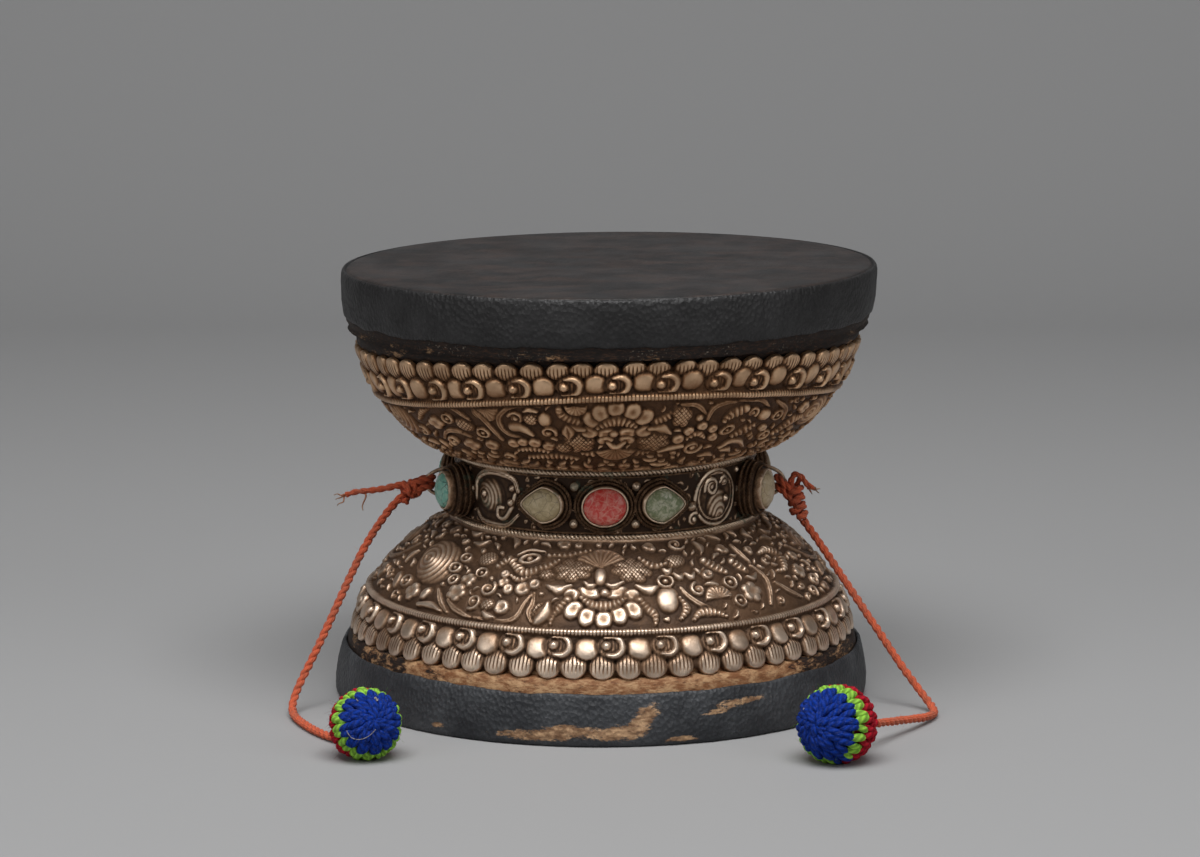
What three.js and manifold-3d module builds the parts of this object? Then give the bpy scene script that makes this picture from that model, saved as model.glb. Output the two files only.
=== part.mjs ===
// A damaru, the two-headed hourglass drum of Himalayan ritual, standing on one head.
// A turned wooden body has a hide glued over each mouth and an embossed metal sheet round each bowl.
// A belt set with stones girds the waist, and its two wire loops carry the corded striker balls.
// Millimetres, +Z up, origin on the floor under the drum, front towards -Y.

import * as THREE from "three";
import { mergeVertices } from "three/addons/utils/BufferGeometryUtils.js";
import Module from "manifold-3d";

// Driving dimensions.
const HEIGHT = 105.2;
const GAP = 0.3; // clearance between neighbouring pieces
const SINK = 0.5; // how far fused ornament reaches into the sheet that carries it
const LEAN = 2; // the top stands this far to the right of the foot
const TILT = Math.tan(THREE.MathUtils.degToRad(0.6)); // slope of the upper half, higher on the right

const WALL_SIDES = 24; // facets round hidden wood and the belt
const BORE_SIDES = 12;
const HEAD_SIDES = 44;
const UPPER_PETALS = 64;
const LOWER_PETALS = 60;

// Each bowl runs from its rim to the waist, bulging like a cup.
const UPPER = { rimZ: 90.6, rimR: 62, waistZ: 61, waistR: 38, bulge: 1.6, close: 0.57 };
const LOWER = { rimZ: 15, rimR: 61.7, waistZ: 44, waistR: 36, bulge: 1.7, close: 0.78 };
const GROUND = 0.6; // depth of the embossed ground below the outline of its relief
const SHEET = 0.7; // metal sheet with its pitch backing

const HIDE = 0.9;
const NECK_R = 35.3;
const BORE_R = 7;

const BELT_Z = 51.9;
const BAND_R = 36.6;
const BELT_IN_R = 35.7;
const ROPE_R = 0.8;
const LOOP_REACH = 44.1; // from the axis to the middle of the loop's wire
const LOOP_HALF = 4;
const WIRE_R = 0.48;

const CORD_R = 1;
const CORD_SIDES = 8;
const CORD_STEPS = 21;

// The cords' routes, from knot to ball.
const LEFT_ROUTE = [
  [-49.7, -1.7, 47.9], [-52.9, -3.4, 44.6], [-56.4, -6.2, 40.0], [-59.4, -9.6, 35.2],
  [-62.1, -13.2, 29.9], [-64.8, -17.0, 24.3], [-67.8, -21.0, 18.0], [-70.6, -24.4, 12.4],
  [-73.0, -27.2, 7.8], [-74.6, -30.2, 4.2], [-75.0, -34.0, 1.9], [-73.9, -39.4, 1.15],
  [-71.3, -46.6, 1.1], [-67.8, -53.8, 1.1], [-64.0, -59.8, 1.3], [-60.3, -64.4, 2.4],
  [-57.3, -67.4, 3.9],
];
const RIGHT_ROUTE = [
  [48.8, -2.1, 41.8], [51.1, -4.0, 38.8], [54.2, -7.2, 34.7], [57.4, -10.4, 30.2],
  [60.7, -13.6, 25.6], [64.1, -16.7, 20.8], [67.6, -19.7, 15.9], [70.9, -22.3, 11.2],
  [74.0, -24.7, 7.1], [76.8, -27.2, 3.7], [78.6, -30.4, 1.7], [79.0, -34.6, 1.15],
  [77.6, -39.6, 1.4], [74.6, -45.2, 2.2], [70.9, -51.0, 3.2], [67.0, -56.9, 4.2],
  [63.4, -62.6, 5.2], [60.4, -67.8, 6.3], [58.6, -70.8, 6.9],
];
const LEFT_BALL = { centre: [-55.2, -74.5, 7.9], radius: 8 };
const RIGHT_BALL = { centre: [53.1, -78, 8.7], radius: 8.8 };

const wasm = await Module();
wasm.setup();

const { cos, sin, PI, hypot, sign } = Math;
const radians = THREE.MathUtils.degToRad;

// ---- solids ----

// A closed geometry as a manifold solid.
function solidOf(geometry) {
  const bare = new THREE.BufferGeometry();
  bare.setAttribute("position", geometry.getAttribute("position"));
  bare.setIndex(geometry.getIndex());
  const merged = mergeVertices(bare, 1e-4);
  return new wasm.Manifold(new wasm.Mesh({
    numProp: 3,
    vertProperties: merged.getAttribute("position").array,
    triVerts: new Uint32Array(merged.getIndex().array),
  }));
}

function geometryOf(solid) {
  const mesh = solid.getMesh();
  const geometry = new THREE.BufferGeometry();
  geometry.setAttribute("position", new THREE.BufferAttribute(mesh.vertProperties, 3));
  geometry.setIndex(new THREE.BufferAttribute(mesh.triVerts, 1));
  return geometry;
}

// One geometry from several that touch.
function fused(geometries) {
  return geometryOf(geometries.map(solidOf).reduce((sum, solid) => sum.add(solid)));
}

// The drum stands a little out of true, as turned and dried by hand.
function settled(geometry) {
  const at = geometry.getAttribute("position");
  for (let i = 0; i < at.count; i += 1) {
    const [x, y, z] = [at.getX(i), at.getY(i), at.getZ(i)];
    const rise = THREE.MathUtils.smoothstep(z, LOWER.waistZ, UPPER.waistZ);
    at.setXYZ(i, x + LEAN * (z / HEIGHT - 0.5), y, z + TILT * x * rise);
  }
  return geometry;
}

// A body of revolution about +Z from [radius, z] points.
function turned(profile, sides) {
  const points = profile.map(([r, z]) => new THREE.Vector2(r, z));
  return new THREE.LatheGeometry(points, sides).rotateX(PI / 2);
}

// A closed skin through a loop of rings about the axis; ring.place(i) gives [radius, z].
// A ring may have twice or half as many points as its neighbour.
function ringed(rings) {
  const positions = [];
  const starts = rings.map(({ count, place }) => {
    const start = positions.length / 3;
    for (let i = 0; i < count; i += 1) {
      const angle = (2 * PI * i) / count;
      const [r, z] = place(i);
      positions.push(r * cos(angle), r * sin(angle), z);
    }
    return start;
  });
  const faces = [];
  const addFace = (...corners) => {
    if (new Set(corners).size === 3) faces.push(...corners);
  };
  rings.forEach((ring, k) => {
    const next = (k + 1) % rings.length;
    const most = Math.max(ring.count, rings[next].count);
    const vertex = (row, i) => {
      const { count } = rings[row];
      return starts[row] + (Math.floor((i * count) / most) % count);
    };
    for (let i = 0; i < most; i += 1) {
      const [a, b] = [vertex(k, i), vertex(k, i + 1)];
      const [c, d] = [vertex(next, i + 1), vertex(next, i)];
      if (ring.count < rings[next].count) {
        addFace(a, d, b);
        addFace(b, d, c);
      } else {
        addFace(a, c, b);
        addFace(a, d, c);
      }
    }
  });
  const geometry = new THREE.BufferGeometry();
  geometry.setAttribute("position", new THREE.Float32BufferAttribute(positions, 3));
  geometry.setIndex(faces);
  return geometry;
}

const plainRing = (count) => ([r, z]) => ({ count, place: () => [r, z] });

// The [radius, z] points set back by a depth from the side that the profile's outline faces.
function inset(profile, depth, side) {
  return profile.map(([r, z], i) => {
    const [r0, z0] = profile[Math.max(i - 1, 0)];
    const [r1, z1] = profile[Math.min(i + 1, profile.length - 1)];
    const length = hypot(r1 - r0, z1 - z0);
    return [r - (side * depth * (z0 - z1)) / length, z - (side * depth * (r1 - r0)) / length];
  });
}

// A round cord or wire along points.
function tube(points, radius, sides, steps) {
  const section = new THREE.Shape();
  for (let i = 0; i < sides; i += 1) {
    const angle = (2 * PI * i) / sides;
    const move = i === 0 ? "moveTo" : "lineTo";
    section[move](radius * cos(angle), radius * sin(angle));
  }
  const path = new THREE.CatmullRomCurve3(points.map((p) => new THREE.Vector3(...p)));
  return new THREE.ExtrudeGeometry(section, { steps, bevelEnabled: false, extrudePath: path });
}

// ---- bowls ----

function bowlRadius(bowl, z) {
  const t = (z - bowl.rimZ) / (bowl.waistZ - bowl.rimZ);
  return bowl.waistR + (bowl.rimR - bowl.waistR) * (1 - t ** bowl.bulge) ** bowl.close;
}

// Where an ornament stands: azimuth in degrees from the front, distance along the bowl from its rim.
function bowlFrame(bowl, azimuth, distance) {
  const step = (bowl.waistZ - bowl.rimZ) / 400;
  const radiusAt = (z) => bowlRadius(bowl, z) - GROUND;
  let z = bowl.rimZ;
  let walked = 0;
  while (walked < distance) {
    walked += hypot(step, radiusAt(z + step) - radiusAt(z));
    z += step;
  }
  const radial = new THREE.Vector3(1, 0, 0).applyAxisAngle(
    new THREE.Vector3(0, 0, 1), radians(azimuth - 90));
  const towardsRim = radial.clone().multiplyScalar(radiusAt(z - step) - radiusAt(z));
  towardsRim.setZ(-step).normalize();
  const outward = new THREE.Vector3(0, 0, 1).cross(radial).cross(towardsRim);
  if (outward.dot(radial) < 0) outward.negate();
  const across = towardsRim.clone().cross(outward);
  const place = radial.clone().multiplyScalar(radiusAt(z)).setZ(z);
  return new THREE.Matrix4().makeBasis(across, towardsRim, outward).setPosition(place);
}

// A raised petal or leaf, with four sides, or a rounder pad: a low peak, wide by long, turned by spin.
function boss(wide, long, high, spin = 0, sides = 4) {
  return new THREE.ConeGeometry(1, 1, sides)
    .rotateX(PI / 2)
    .translate(0, 0, 0.5)
    .scale(wide / 2, long / 2, high + SINK)
    .translate(0, 0, -SINK)
    .rotateZ(radians(spin));
}

// One lotus: five petals fanned towards the rim over a crescent, on cloud pads, between two leaves.
function lotus(bowl, azimuth) {
  const degreesPerMm = 180 / (PI * (bowlRadius(bowl, (bowl.rimZ + bowl.waistZ) / 2) - GROUND));
  const pieces = [
    ...[-2, -1, 0, 1, 2].map((n) => ({
      across: n * 3.4, from: 14 + n * n * 0.75, shape: boss(3.4, 4.6, 0.9, -n * 14),
    })),
    { across: 0, from: 19.2, shape: boss(10, 4, 0.8, 0, 6) },
    ...[-1, 1].map((s) => (
      { across: s * 6.4, from: 27.6, shape: boss(8, 5.6, 0.8, s * 12, 6) }
    )),
  ];
  return pieces.map(({ across, from, shape }) =>
    shape.applyMatrix4(bowlFrame(bowl, azimuth + across * degreesPerMm, from)));
}

// One rosette with a curled leaf on each side, between two lotuses.
function rosette(bowl, azimuth) {
  const degreesPerMm = 180 / (PI * (bowlRadius(bowl, (bowl.rimZ + bowl.waistZ) / 2) - GROUND));
  const pieces = [
    { across: 0, from: 20, shape: boss(9, 8, 1, 0, 6) },
    ...[-1, 1].map((s) => (
      { across: s * 7.6, from: 20.5, shape: boss(4.4, 11, 0.8, s * 26) }
    )),
  ];
  return pieces.map(({ across, from, shape }) =>
    shape.applyMatrix4(bowlFrame(bowl, azimuth + across * degreesPerMm, from)));
}

const RELIEF_SECTORS = 8;

// The embossed sheet: two petal rows, a twisted rope, then ornament down to the waist.
// rows gives the z of each groove from the rim; ground gives the z of the plain rings below the rope.
function cladding(bowl, petals, rows, ground, firstSector) {
  const away = sign(bowl.rimZ - bowl.waistZ);
  const [rim, groove1, groove2, ropeFoot] = rows;
  const base = (z) => bowlRadius(bowl, z) - GROUND;
  const lobes = (z, raised, hollow, scallop = 0) => ({
    count: 2 * petals,
    place: (i) => (i % 2 ? [base(z) + raised, z] : [base(z) - hollow, z - away * scallop]),
  });
  const middle = (a, b) => (a + b) / 2;
  const plain = ground.map((z) => [base(z), z]);
  const behind = [rim, ropeFoot, ...ground].map((z) => [base(z), z]);
  const inner = inset(behind, SHEET, away);
  const rings = [
    lobes(rim, 0.4, 0.1, 1.1),
    lobes(middle(rim, groove1), 0.9, 0.1),
    plainRing(petals)([base(groove1) - 0.1, groove1]),
    lobes(middle(groove1, groove2), 0.9, 0.1),
    plainRing(petals)([base(groove2) - 0.1, groove2]),
    plainRing(petals)([base(middle(groove2, ropeFoot)) + 0.7, middle(groove2, ropeFoot)]),
    plainRing(petals)([base(ropeFoot), ropeFoot]),
    ...plain.map(plainRing(petals / 2)),
    ...inner.reverse().map(plainRing(petals / 2)),
  ];
  const sheet = ringed(away > 0 ? rings : rings.reverse());
  const ornament = [];
  for (let n = 0; n < RELIEF_SECTORS; n += 1) {
    const azimuth = firstSector + (360 * n) / RELIEF_SECTORS;
    ornament.push(...(n % 2 ? rosette : lotus)(bowl, azimuth));
  }
  return fused([sheet, ...ornament]);
}

const UPPER_ROWS = [90.4, 86.7, 82.8, 80.5];
const UPPER_GROUND = [74, 68, 63.6, 61];
const LOWER_ROWS = [15.6, 20.5, 24.3, 26.6];
const LOWER_GROUND = [33, 39, 42.8];

// ---- wood and hides ----

function woodenBody() {
  const wallBehind = (bowl, rows, ground) => {
    const heights = [rows.at(0), rows.at(-1), ...ground];
    const outline = heights.map((z) => [bowlRadius(bowl, z) - GROUND, z]);
    return inset(outline, SHEET + 2 * GAP, sign(bowl.rimZ - bowl.waistZ));
  };
  const rim = plainRing(2 * WALL_SIDES);
  const hidden = plainRing(WALL_SIDES);
  const bore = plainRing(BORE_SIDES);
  const mouth = HEIGHT - HIDE - GAP;
  return ringed([
    ...[[59, mouth], [64, mouth]].map(hidden),
    ...[[64, 93.6], [62.5, 90.9]].map(rim),
    ...wallBehind(UPPER, UPPER_ROWS, UPPER_GROUND).map(hidden),
    ...[[NECK_R, 62.3], [NECK_R, 42.4]].map(hidden),
    ...wallBehind(LOWER, LOWER_ROWS, LOWER_GROUND).reverse().map(hidden),
    ...[[61.7, 15.2], [62.7, 12.7]].map(rim),
    ...[[64.3, HIDE + GAP], [59, HIDE + GAP]].map(hidden),
    ...[[57, 15], [50, 27], [36, 38], [BORE_R, 46], [BORE_R, 60], [36, 69], [50, 76], [57, 90]].map(bore),
  ]);
}

// A wetted hide drawn over the mouth and glued down the rim.
function upperHead() {
  return turned([
    [0, HEIGHT], [64.7, HEIGHT], [65.2, HEIGHT - 0.6], [64.9, 93.7],
    [64.3, 93.7], [64.3, HEIGHT - HIDE], [0, HEIGHT - HIDE],
  ].reverse(), HEAD_SIDES);
}

function lowerHead() {
  return turned([
    [0, 0], [65, 0], [65.6, 0.8], [65.4, 5], [63.7, 12.4],
    [63.1, 12.4], [64.7, 5], [64.7, HIDE], [0, HIDE],
  ], HEAD_SIDES);
}

// ---- belt ----

// Moves a shape made round +Z so that it looks outward from the belt, with its +Y up.
function onBelt(geometry, azimuth, reach) {
  const outward = new THREE.Vector3(1, 0, 0).applyAxisAngle(
    new THREE.Vector3(0, 0, 1), radians(azimuth - 90));
  const up = new THREE.Vector3(0, 0, 1);
  const across = up.clone().cross(outward);
  const place = outward.clone().multiplyScalar(reach).setZ(BELT_Z);
  return geometry.applyMatrix4(
    new THREE.Matrix4().makeBasis(across, up, outward).setPosition(place));
}

// Draws one end of a round outline out into a pear; point is its signed sharpness.
function pear(geometry, point) {
  const at = geometry.getAttribute("position");
  for (let i = 0; i < at.count; i += 1) {
    const taper = Math.max(0, sign(point) * at.getX(i));
    at.setY(i, at.getY(i) * (1 - Math.abs(point) * taper));
  }
  return geometry;
}

// half-sizes across and up, the bezel's reach from the axis, and the pear's point
const FRONT_STONES = [
  { name: "coral", azimuth: 0, wide: 5.2, tall: 4.5, point: 0, colour: 0xa84638 },
  { name: "olive", azimuth: -23, wide: 5, tall: 4.1, point: -0.5, colour: 0x9a9b6c },
  { name: "green", azimuth: 21.5, wide: 5, tall: 4.1, point: 0.5, colour: 0x5f9a86 },
];
const SIDE_STONES = [
  { name: "left_turquoise", azimuth: -68, wide: 4.2, tall: 4.4, point: 0, colour: 0x6fae9f },
  { name: "right_amber", azimuth: 68, wide: 4.2, tall: 4.4, point: 0, colour: 0xb8a27a },
];
const FRONT_BEZEL_REACH = 38.2;
const SIDE_BEZEL_REACH = 41.6;
const ROUNDEL_AZIMUTH = 45.6;

// The belt's stones: those above, and their like mirrored to the back.
const STONES = [
  ...FRONT_STONES.map((stone) => ({ ...stone, reach: FRONT_BEZEL_REACH })),
  ...SIDE_STONES.map((stone) => ({ ...stone, reach: SIDE_BEZEL_REACH })),
].flatMap((stone) => [
  { ...stone, name: `front_${stone.name}_stone` },
  { ...stone, name: `back_${stone.name}_stone`, azimuth: 180 - stone.azimuth, point: -stone.point },
]);
const STONE_SIDES = 8;
const BEZEL_WALL = 1.1;
const STONE_RISE = 2.2;
const BEZEL_ROOT = 35.9;

// A closed box of sheet, on which the stone sits.
function bezel({ azimuth, wide, tall, point, reach }) {
  const wider = 1 + BEZEL_WALL / tall;
  const box = turned([[0, 0], [wider, 0], [wider, reach - BEZEL_ROOT], [0, reach - BEZEL_ROOT]], STONE_SIDES);
  return onBelt(pear(box, point).scale(wide, tall, 1), azimuth, BEZEL_ROOT);
}

function cabochon({ azimuth, wide, tall, point, reach }) {
  const dome = turned([[0, 0], [1, 0], [0.8, STONE_RISE * 0.7], [0, STONE_RISE]], STONE_SIDES);
  return onBelt(pear(dome, point).scale(wide, tall, 1), azimuth, reach + GAP);
}

// A round of coiled wire with a ball at its middle.
function roundel(azimuth) {
  const disc = turned([
    [0, 0], [1, 0], [0.9, 2], [0.35, 2], [0, 3.2],
  ], STONE_SIDES);
  return onBelt(disc.scale(6.8, 6.7, 1), azimuth, BEZEL_ROOT);
}

// The wire loop at each side that the cord is tied to.
function cordLoop(side) {
  const points = [];
  for (let n = 0; n <= 6; n += 1) {
    const angle = PI * (n / 6 - 0.5);
    const reach = BAND_R - 0.4 + (LOOP_REACH - BAND_R + 0.4) * cos(angle);
    points.push([side * reach, 0, BELT_Z - 0.9 + LOOP_HALF * sin(angle)]);
  }
  return tube(points, WIRE_R, 5, 9);
}

function waistBelt() {
  const low = 43.2;
  const high = 60.6;
  const rim = BAND_R + 0.3;
  const rope = rim + ROPE_R;
  const band = turned([
    [BELT_IN_R, low], [rim, low], [rope, low + ROPE_R], [rim, low + 2 * ROPE_R],
    [rim, high - 2 * ROPE_R], [rope, high - ROPE_R], [rim, high], [BELT_IN_R, high],
    [BELT_IN_R, low],
  ], WALL_SIDES);
  const roundels = [-1, 1].flatMap((s) => [ROUNDEL_AZIMUTH, 180 - ROUNDEL_AZIMUTH].map((a) => roundel(s * a)));
  return fused([band, ...STONES.map(bezel), ...roundels, cordLoop(-1), cordLoop(1)]);
}

// ---- cords and strikers ----

// The hitch round the loop's wire, the knot's bulk beside it, and the cord's spare end.
function knot({ centre, size, hitch, tail }) {
  const bulk = new THREE.SphereGeometry(1, 8, 6).scale(...size).translate(...centre);
  return fused([bulk, tube(hitch, 0.92, 5, 8), tube(tail, 0.85, 5, 6)]);
}

const LEFT_KNOT = {
  centre: [-47.4, -1, 49.6],
  size: [2.2, 2.5, 2.8],
  hitch: [[-47, -1.9, 50], [-44, -1.85, 50.2], [-41.5, 0, 50.4], [-44, 1.85, 50.2], [-47, 1.2, 50]],
  tail: [[-48, -1, 50.4], [-54, -1.4, 49.4], [-60, -1.9, 48.6], [-66, -2.4, 47.8]],
};
const RIGHT_KNOT = {
  centre: [47.5, -1.5, 45.5],
  size: [2.2, 2.4, 4.1],
  hitch: [[47, -1.9, 45.6], [43.4, -1.9, 49], [41.4, 0, 50.6], [43.4, 1.85, 49], [47, 0.4, 45.6]],
  tail: [[47.4, -1.5, 47.5], [47.6, -1.5, 51], [49.6, -1.5, 51.2], [51.6, -1.5, 48.6]],
};

function ball({ centre, radius }) {
  const geometry = new THREE.SphereGeometry(radius, 12, 8).rotateX(PI / 2).translate(...centre);
  const at = geometry.getAttribute("position");
  for (let i = 0; i < at.count; i += 1) at.setZ(i, Math.max(at.getZ(i), 0)); // a small flat to rest on
  return geometry;
}

// ---- the drum ----

const drum = new THREE.Group();

function add(name, geometry, color, roughness, metalness = 0) {
  const mesh = new THREE.Mesh(geometry, new THREE.MeshStandardMaterial({ color, roughness, metalness }));
  mesh.name = name;
  drum.add(mesh);
}

const SILVER = [0x8a7665, 0.45, 0.85];
const CORD = [0xb0563c, 0.85];

add("wooden_body", settled(woodenBody()), 0x5a3a26, 0.7);
add("upper_head", settled(upperHead()), 0x24201e, 0.6);
add("lower_head", settled(lowerHead()), 0x2e2f31, 0.6);
add("upper_cladding", settled(cladding(UPPER, UPPER_PETALS, UPPER_ROWS, UPPER_GROUND, 2.4)), ...SILVER);
add("lower_cladding", settled(cladding(LOWER, LOWER_PETALS, LOWER_ROWS, LOWER_GROUND, 0)), ...SILVER);
add("waist_belt", settled(waistBelt()), 0x3c372f, 0.5, 0.8);
for (const stone of STONES) add(stone.name, settled(cabochon(stone)), stone.colour, 0.35);
add("left_cord_knot", knot(LEFT_KNOT), ...CORD);
add("right_cord_knot", knot(RIGHT_KNOT), ...CORD);
add("left_cord", tube(LEFT_ROUTE, CORD_R, CORD_SIDES, CORD_STEPS), ...CORD);
add("right_cord", tube(RIGHT_ROUTE, CORD_R, CORD_SIDES, CORD_STEPS), ...CORD);
add("left_striker_ball", ball(LEFT_BALL), 0x123f8c, 0.95);
add("right_striker_ball", ball(RIGHT_BALL), 0x123f8c, 0.95);

export default drum;
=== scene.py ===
import math
import bpy
import numpy as np
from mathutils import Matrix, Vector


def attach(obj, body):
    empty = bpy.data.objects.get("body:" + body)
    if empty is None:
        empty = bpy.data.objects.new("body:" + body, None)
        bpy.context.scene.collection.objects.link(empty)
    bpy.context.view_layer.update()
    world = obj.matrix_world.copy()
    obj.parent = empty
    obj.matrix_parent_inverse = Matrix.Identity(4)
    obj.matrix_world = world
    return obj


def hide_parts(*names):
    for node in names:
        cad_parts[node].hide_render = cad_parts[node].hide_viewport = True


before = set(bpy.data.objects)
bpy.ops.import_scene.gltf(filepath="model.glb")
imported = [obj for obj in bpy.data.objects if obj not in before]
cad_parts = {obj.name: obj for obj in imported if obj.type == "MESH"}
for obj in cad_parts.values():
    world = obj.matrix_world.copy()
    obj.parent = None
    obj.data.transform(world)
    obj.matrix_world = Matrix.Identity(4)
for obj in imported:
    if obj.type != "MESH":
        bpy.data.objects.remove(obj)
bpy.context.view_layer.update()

# ---- The camera ----
# A long lens a metre in front of the drum, a little above it and looking slightly down.

camera = bpy.data.objects.new("camera", bpy.data.cameras.new("camera"))
camera.data.lens = 123.9
camera.data.sensor_width = 36
camera.location = (-0.0012, -1.0, 0.2341)
camera.rotation_euler = (math.radians(90 - 9.64), 0, 0)
bpy.context.scene.collection.objects.link(camera)
bpy.context.scene.camera = camera
bpy.context.scene.view_settings.view_transform = "Standard"

# ---- The striker cords ----
# Two limp cotton cords, each of two plies laid up together and dyed orange-red.
# Each leaves the knot at a wire loop of the belt, comes down to the floor and bends round to its ball.

MM = 0.001
PLY_TURN = 4.4  # one full turn of the plies
CORD_R = 1.0
LOOP_REACH = 44.1
LOOP_Z = 51.0

LEFT_ROUTE = [
    (-49.7, -1.7, 47.9), (-52.9, -3.4, 44.6), (-56.4, -6.2, 40.0), (-59.4, -9.6, 35.2),
    (-62.1, -13.2, 29.9), (-64.8, -17.0, 24.3), (-67.8, -21.0, 18.0), (-70.6, -24.4, 12.4),
    (-73.0, -27.2, 7.8), (-74.6, -30.2, 4.2), (-75.0, -34.0, 1.9), (-73.9, -39.4, 1.15),
    (-71.3, -46.6, 1.1), (-67.8, -53.8, 1.1), (-64.0, -59.8, 1.3), (-60.3, -64.4, 2.4),
    (-57.3, -67.4, 3.9),
]
RIGHT_ROUTE = [
    (48.8, -2.1, 41.8), (51.1, -4.0, 38.8), (54.2, -7.2, 34.7), (57.4, -10.4, 30.2),
    (60.7, -13.6, 25.6), (64.1, -16.7, 20.8), (67.6, -19.7, 15.9), (70.9, -22.3, 11.2),
    (74.0, -24.7, 7.1), (76.8, -27.2, 3.7), (78.6, -30.4, 1.7), (79.0, -34.6, 1.15),
    (77.6, -39.6, 1.4), (74.6, -45.2, 2.2), (70.9, -51.0, 3.2), (67.0, -56.9, 4.2),
    (63.4, -62.6, 5.2), (60.4, -67.8, 6.3), (58.6, -70.8, 6.9),
]


class Reading:
    """A socket of a finish's nodes, on which sums are written as sums."""

    def __init__(self, finish, socket):
        self.finish, self.socket = finish, socket

    def sum(self, operation, *values, clamp=False):
        settings = {"operation": operation, "use_clamp": clamp}
        return self.finish.node("Math", settings, dict(enumerate(values)))

    def __add__(self, other):
        return self.sum("ADD", self, other)

    __radd__ = __add__

    def __sub__(self, other):
        return self.sum("SUBTRACT", self, other)

    def __rsub__(self, other):
        return self.sum("SUBTRACT", other, self)

    def __mul__(self, other):
        return self.sum("MULTIPLY", self, other)

    __rmul__ = __mul__

    def wave(self):
        return self.sum("SINE", self)

    def clear(self):
        """Kept between 0 and 1."""
        return self.sum("ADD", self, 0.0, clamp=True)


class Finish:
    """One material, made of nodes round its Principled shader."""

    def __init__(self, name):
        self.material = bpy.data.materials.new(name)
        self.material.use_nodes = True
        self.tree = self.material.node_tree
        self.shader = self.tree.nodes["Principled BSDF"]

    def feed(self, socket, value):
        if isinstance(value, Reading):
            self.tree.links.new(value.socket, socket)
        elif isinstance(value, tuple) and len(value) == 3 and socket.type == "RGBA":
            socket.default_value = (*value, 1)
        else:
            socket.default_value = value

    def node(self, kind, settings=None, sockets=None, out=0):
        made = self.tree.nodes.new("ShaderNode" + kind)
        for key, value in (settings or {}).items():
            if key == "stops":
                elements = made.color_ramp.elements
                while len(elements) < len(value):
                    elements.new(0.5)
                for element, (place, colour) in zip(elements, value):
                    element.position = place
                    element.color = (*colour, 1)
            else:
                setattr(made, key, value)
        for key, value in (sockets or {}).items():
            self.feed(made.inputs[key], value)
        return Reading(self, made.outputs[out])

    def mark(self, name):
        return self.node("Attribute", {"attribute_name": name}, out="Fac")

    def chart(self):
        """How far round and how far along its sheet or wire a place is."""
        split = self.node("SeparateXYZ", {}, {0: self.node("UVMap", {"uv_map": "chart"})}, "X")
        return split, Reading(self, split.socket.node.outputs["Y"])

    def place(self, stretch=(1, 1, 1)):
        """The object's own coordinates, with the noise on them drawn out where stretch is under 1."""
        at = self.node("TexCoord", out="Object")
        return self.node("Mapping", {}, {"Vector": at, "Scale": stretch})

    def noise(self, size, detail=4, rough=0.55, place=None, warp=0.0):
        """Cloudy noise with patches about size millimetres across."""
        sockets = {"Scale": 1 / (size * MM), "Detail": detail, "Roughness": rough, "Distortion": warp}
        return self.node("TexNoise", {}, {"Vector": place or self.place(), **sockets})

    def cells(self, size, place=None, feature="F1"):
        sockets = {"Vector": place or self.place(), "Scale": 1 / (size * MM)}
        return self.node("TexVoronoi", {"feature": feature}, sockets, "Distance")

    def ramp(self, value, *stops):
        return self.node("ValToRGB", {"stops": stops}, {0: value})

    def between(self, value, low, high):
        """0 at low, 1 at high, easing over."""
        settings = {"interpolation_type": "SMOOTHSTEP"}
        return self.node("MapRange", settings, {0: value, 1: low, 2: high})

    def blend(self, share, a, b, how="MIX"):
        settings = {"data_type": "RGBA", "blend_type": how}
        return self.node("Mix", settings, {0: share, 6: a, 7: b}, 2)

    def bump(self, height, deep):
        """Bump of a height from 0 to 1, deep millimetres."""
        return self.node("Bump", {}, {"Height": height, "Distance": deep * MM, "Strength": 1.0})

    def lay(self, sockets):
        for key, value in sockets.items():
            self.feed(self.shader.inputs[key], value)


def curve_through(points, step):
    """Evenly spaced points on a smooth curve through the given ones."""
    points = np.asarray(points, float)
    ends = np.vstack([2 * points[0] - points[1], points, 2 * points[-1] - points[-2]])
    t = np.linspace(0, 1, 12, endpoint=False)[:, None]
    spans = [
        b + 0.5 * t * (c - a) + t**2 * (a - 2.5 * b + 2 * c - 0.5 * d) + 0.5 * t**3 * (3 * b - a - 3 * c + d)
        for a, b, c, d in zip(ends, ends[1:], ends[2:], ends[3:])
    ]
    fine = np.vstack([*spans, points[-1:]])
    walked = run_length(fine)
    even = np.linspace(0, walked[-1], max(3, round(walked[-1] / step) + 1))
    return np.stack([np.interp(even, walked, fine[:, k]) for k in range(points.shape[1])], 1)


def run_length(path):
    return np.concatenate([[0], np.cumsum(np.linalg.norm(np.diff(path, axis=0), axis=1))])


def carried_frames(path):
    """Unit vectors along a path and to its side and top, carried down it without twist."""
    along = np.gradient(path, axis=0)
    along /= np.linalg.norm(along, axis=1, keepdims=True)
    side = np.empty_like(along)
    spare = (0, 0, 1) if abs(along[0][2]) < 0.9 else (0, 1, 0)
    side[0] = np.cross(along[0], spare)
    side[0] /= np.linalg.norm(side[0])
    for i in range(1, len(path)):
        carried = side[i - 1] - along[i] * (side[i - 1] @ along[i])
        side[i] = carried / np.linalg.norm(carried)
    return along, side, np.cross(along, side)


def spun(side, up, turn):
    """Ways off a path, one for each point, turned from its side towards its top."""
    return np.cos(turn)[:, None] * side + np.sin(turn)[:, None] * up


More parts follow.
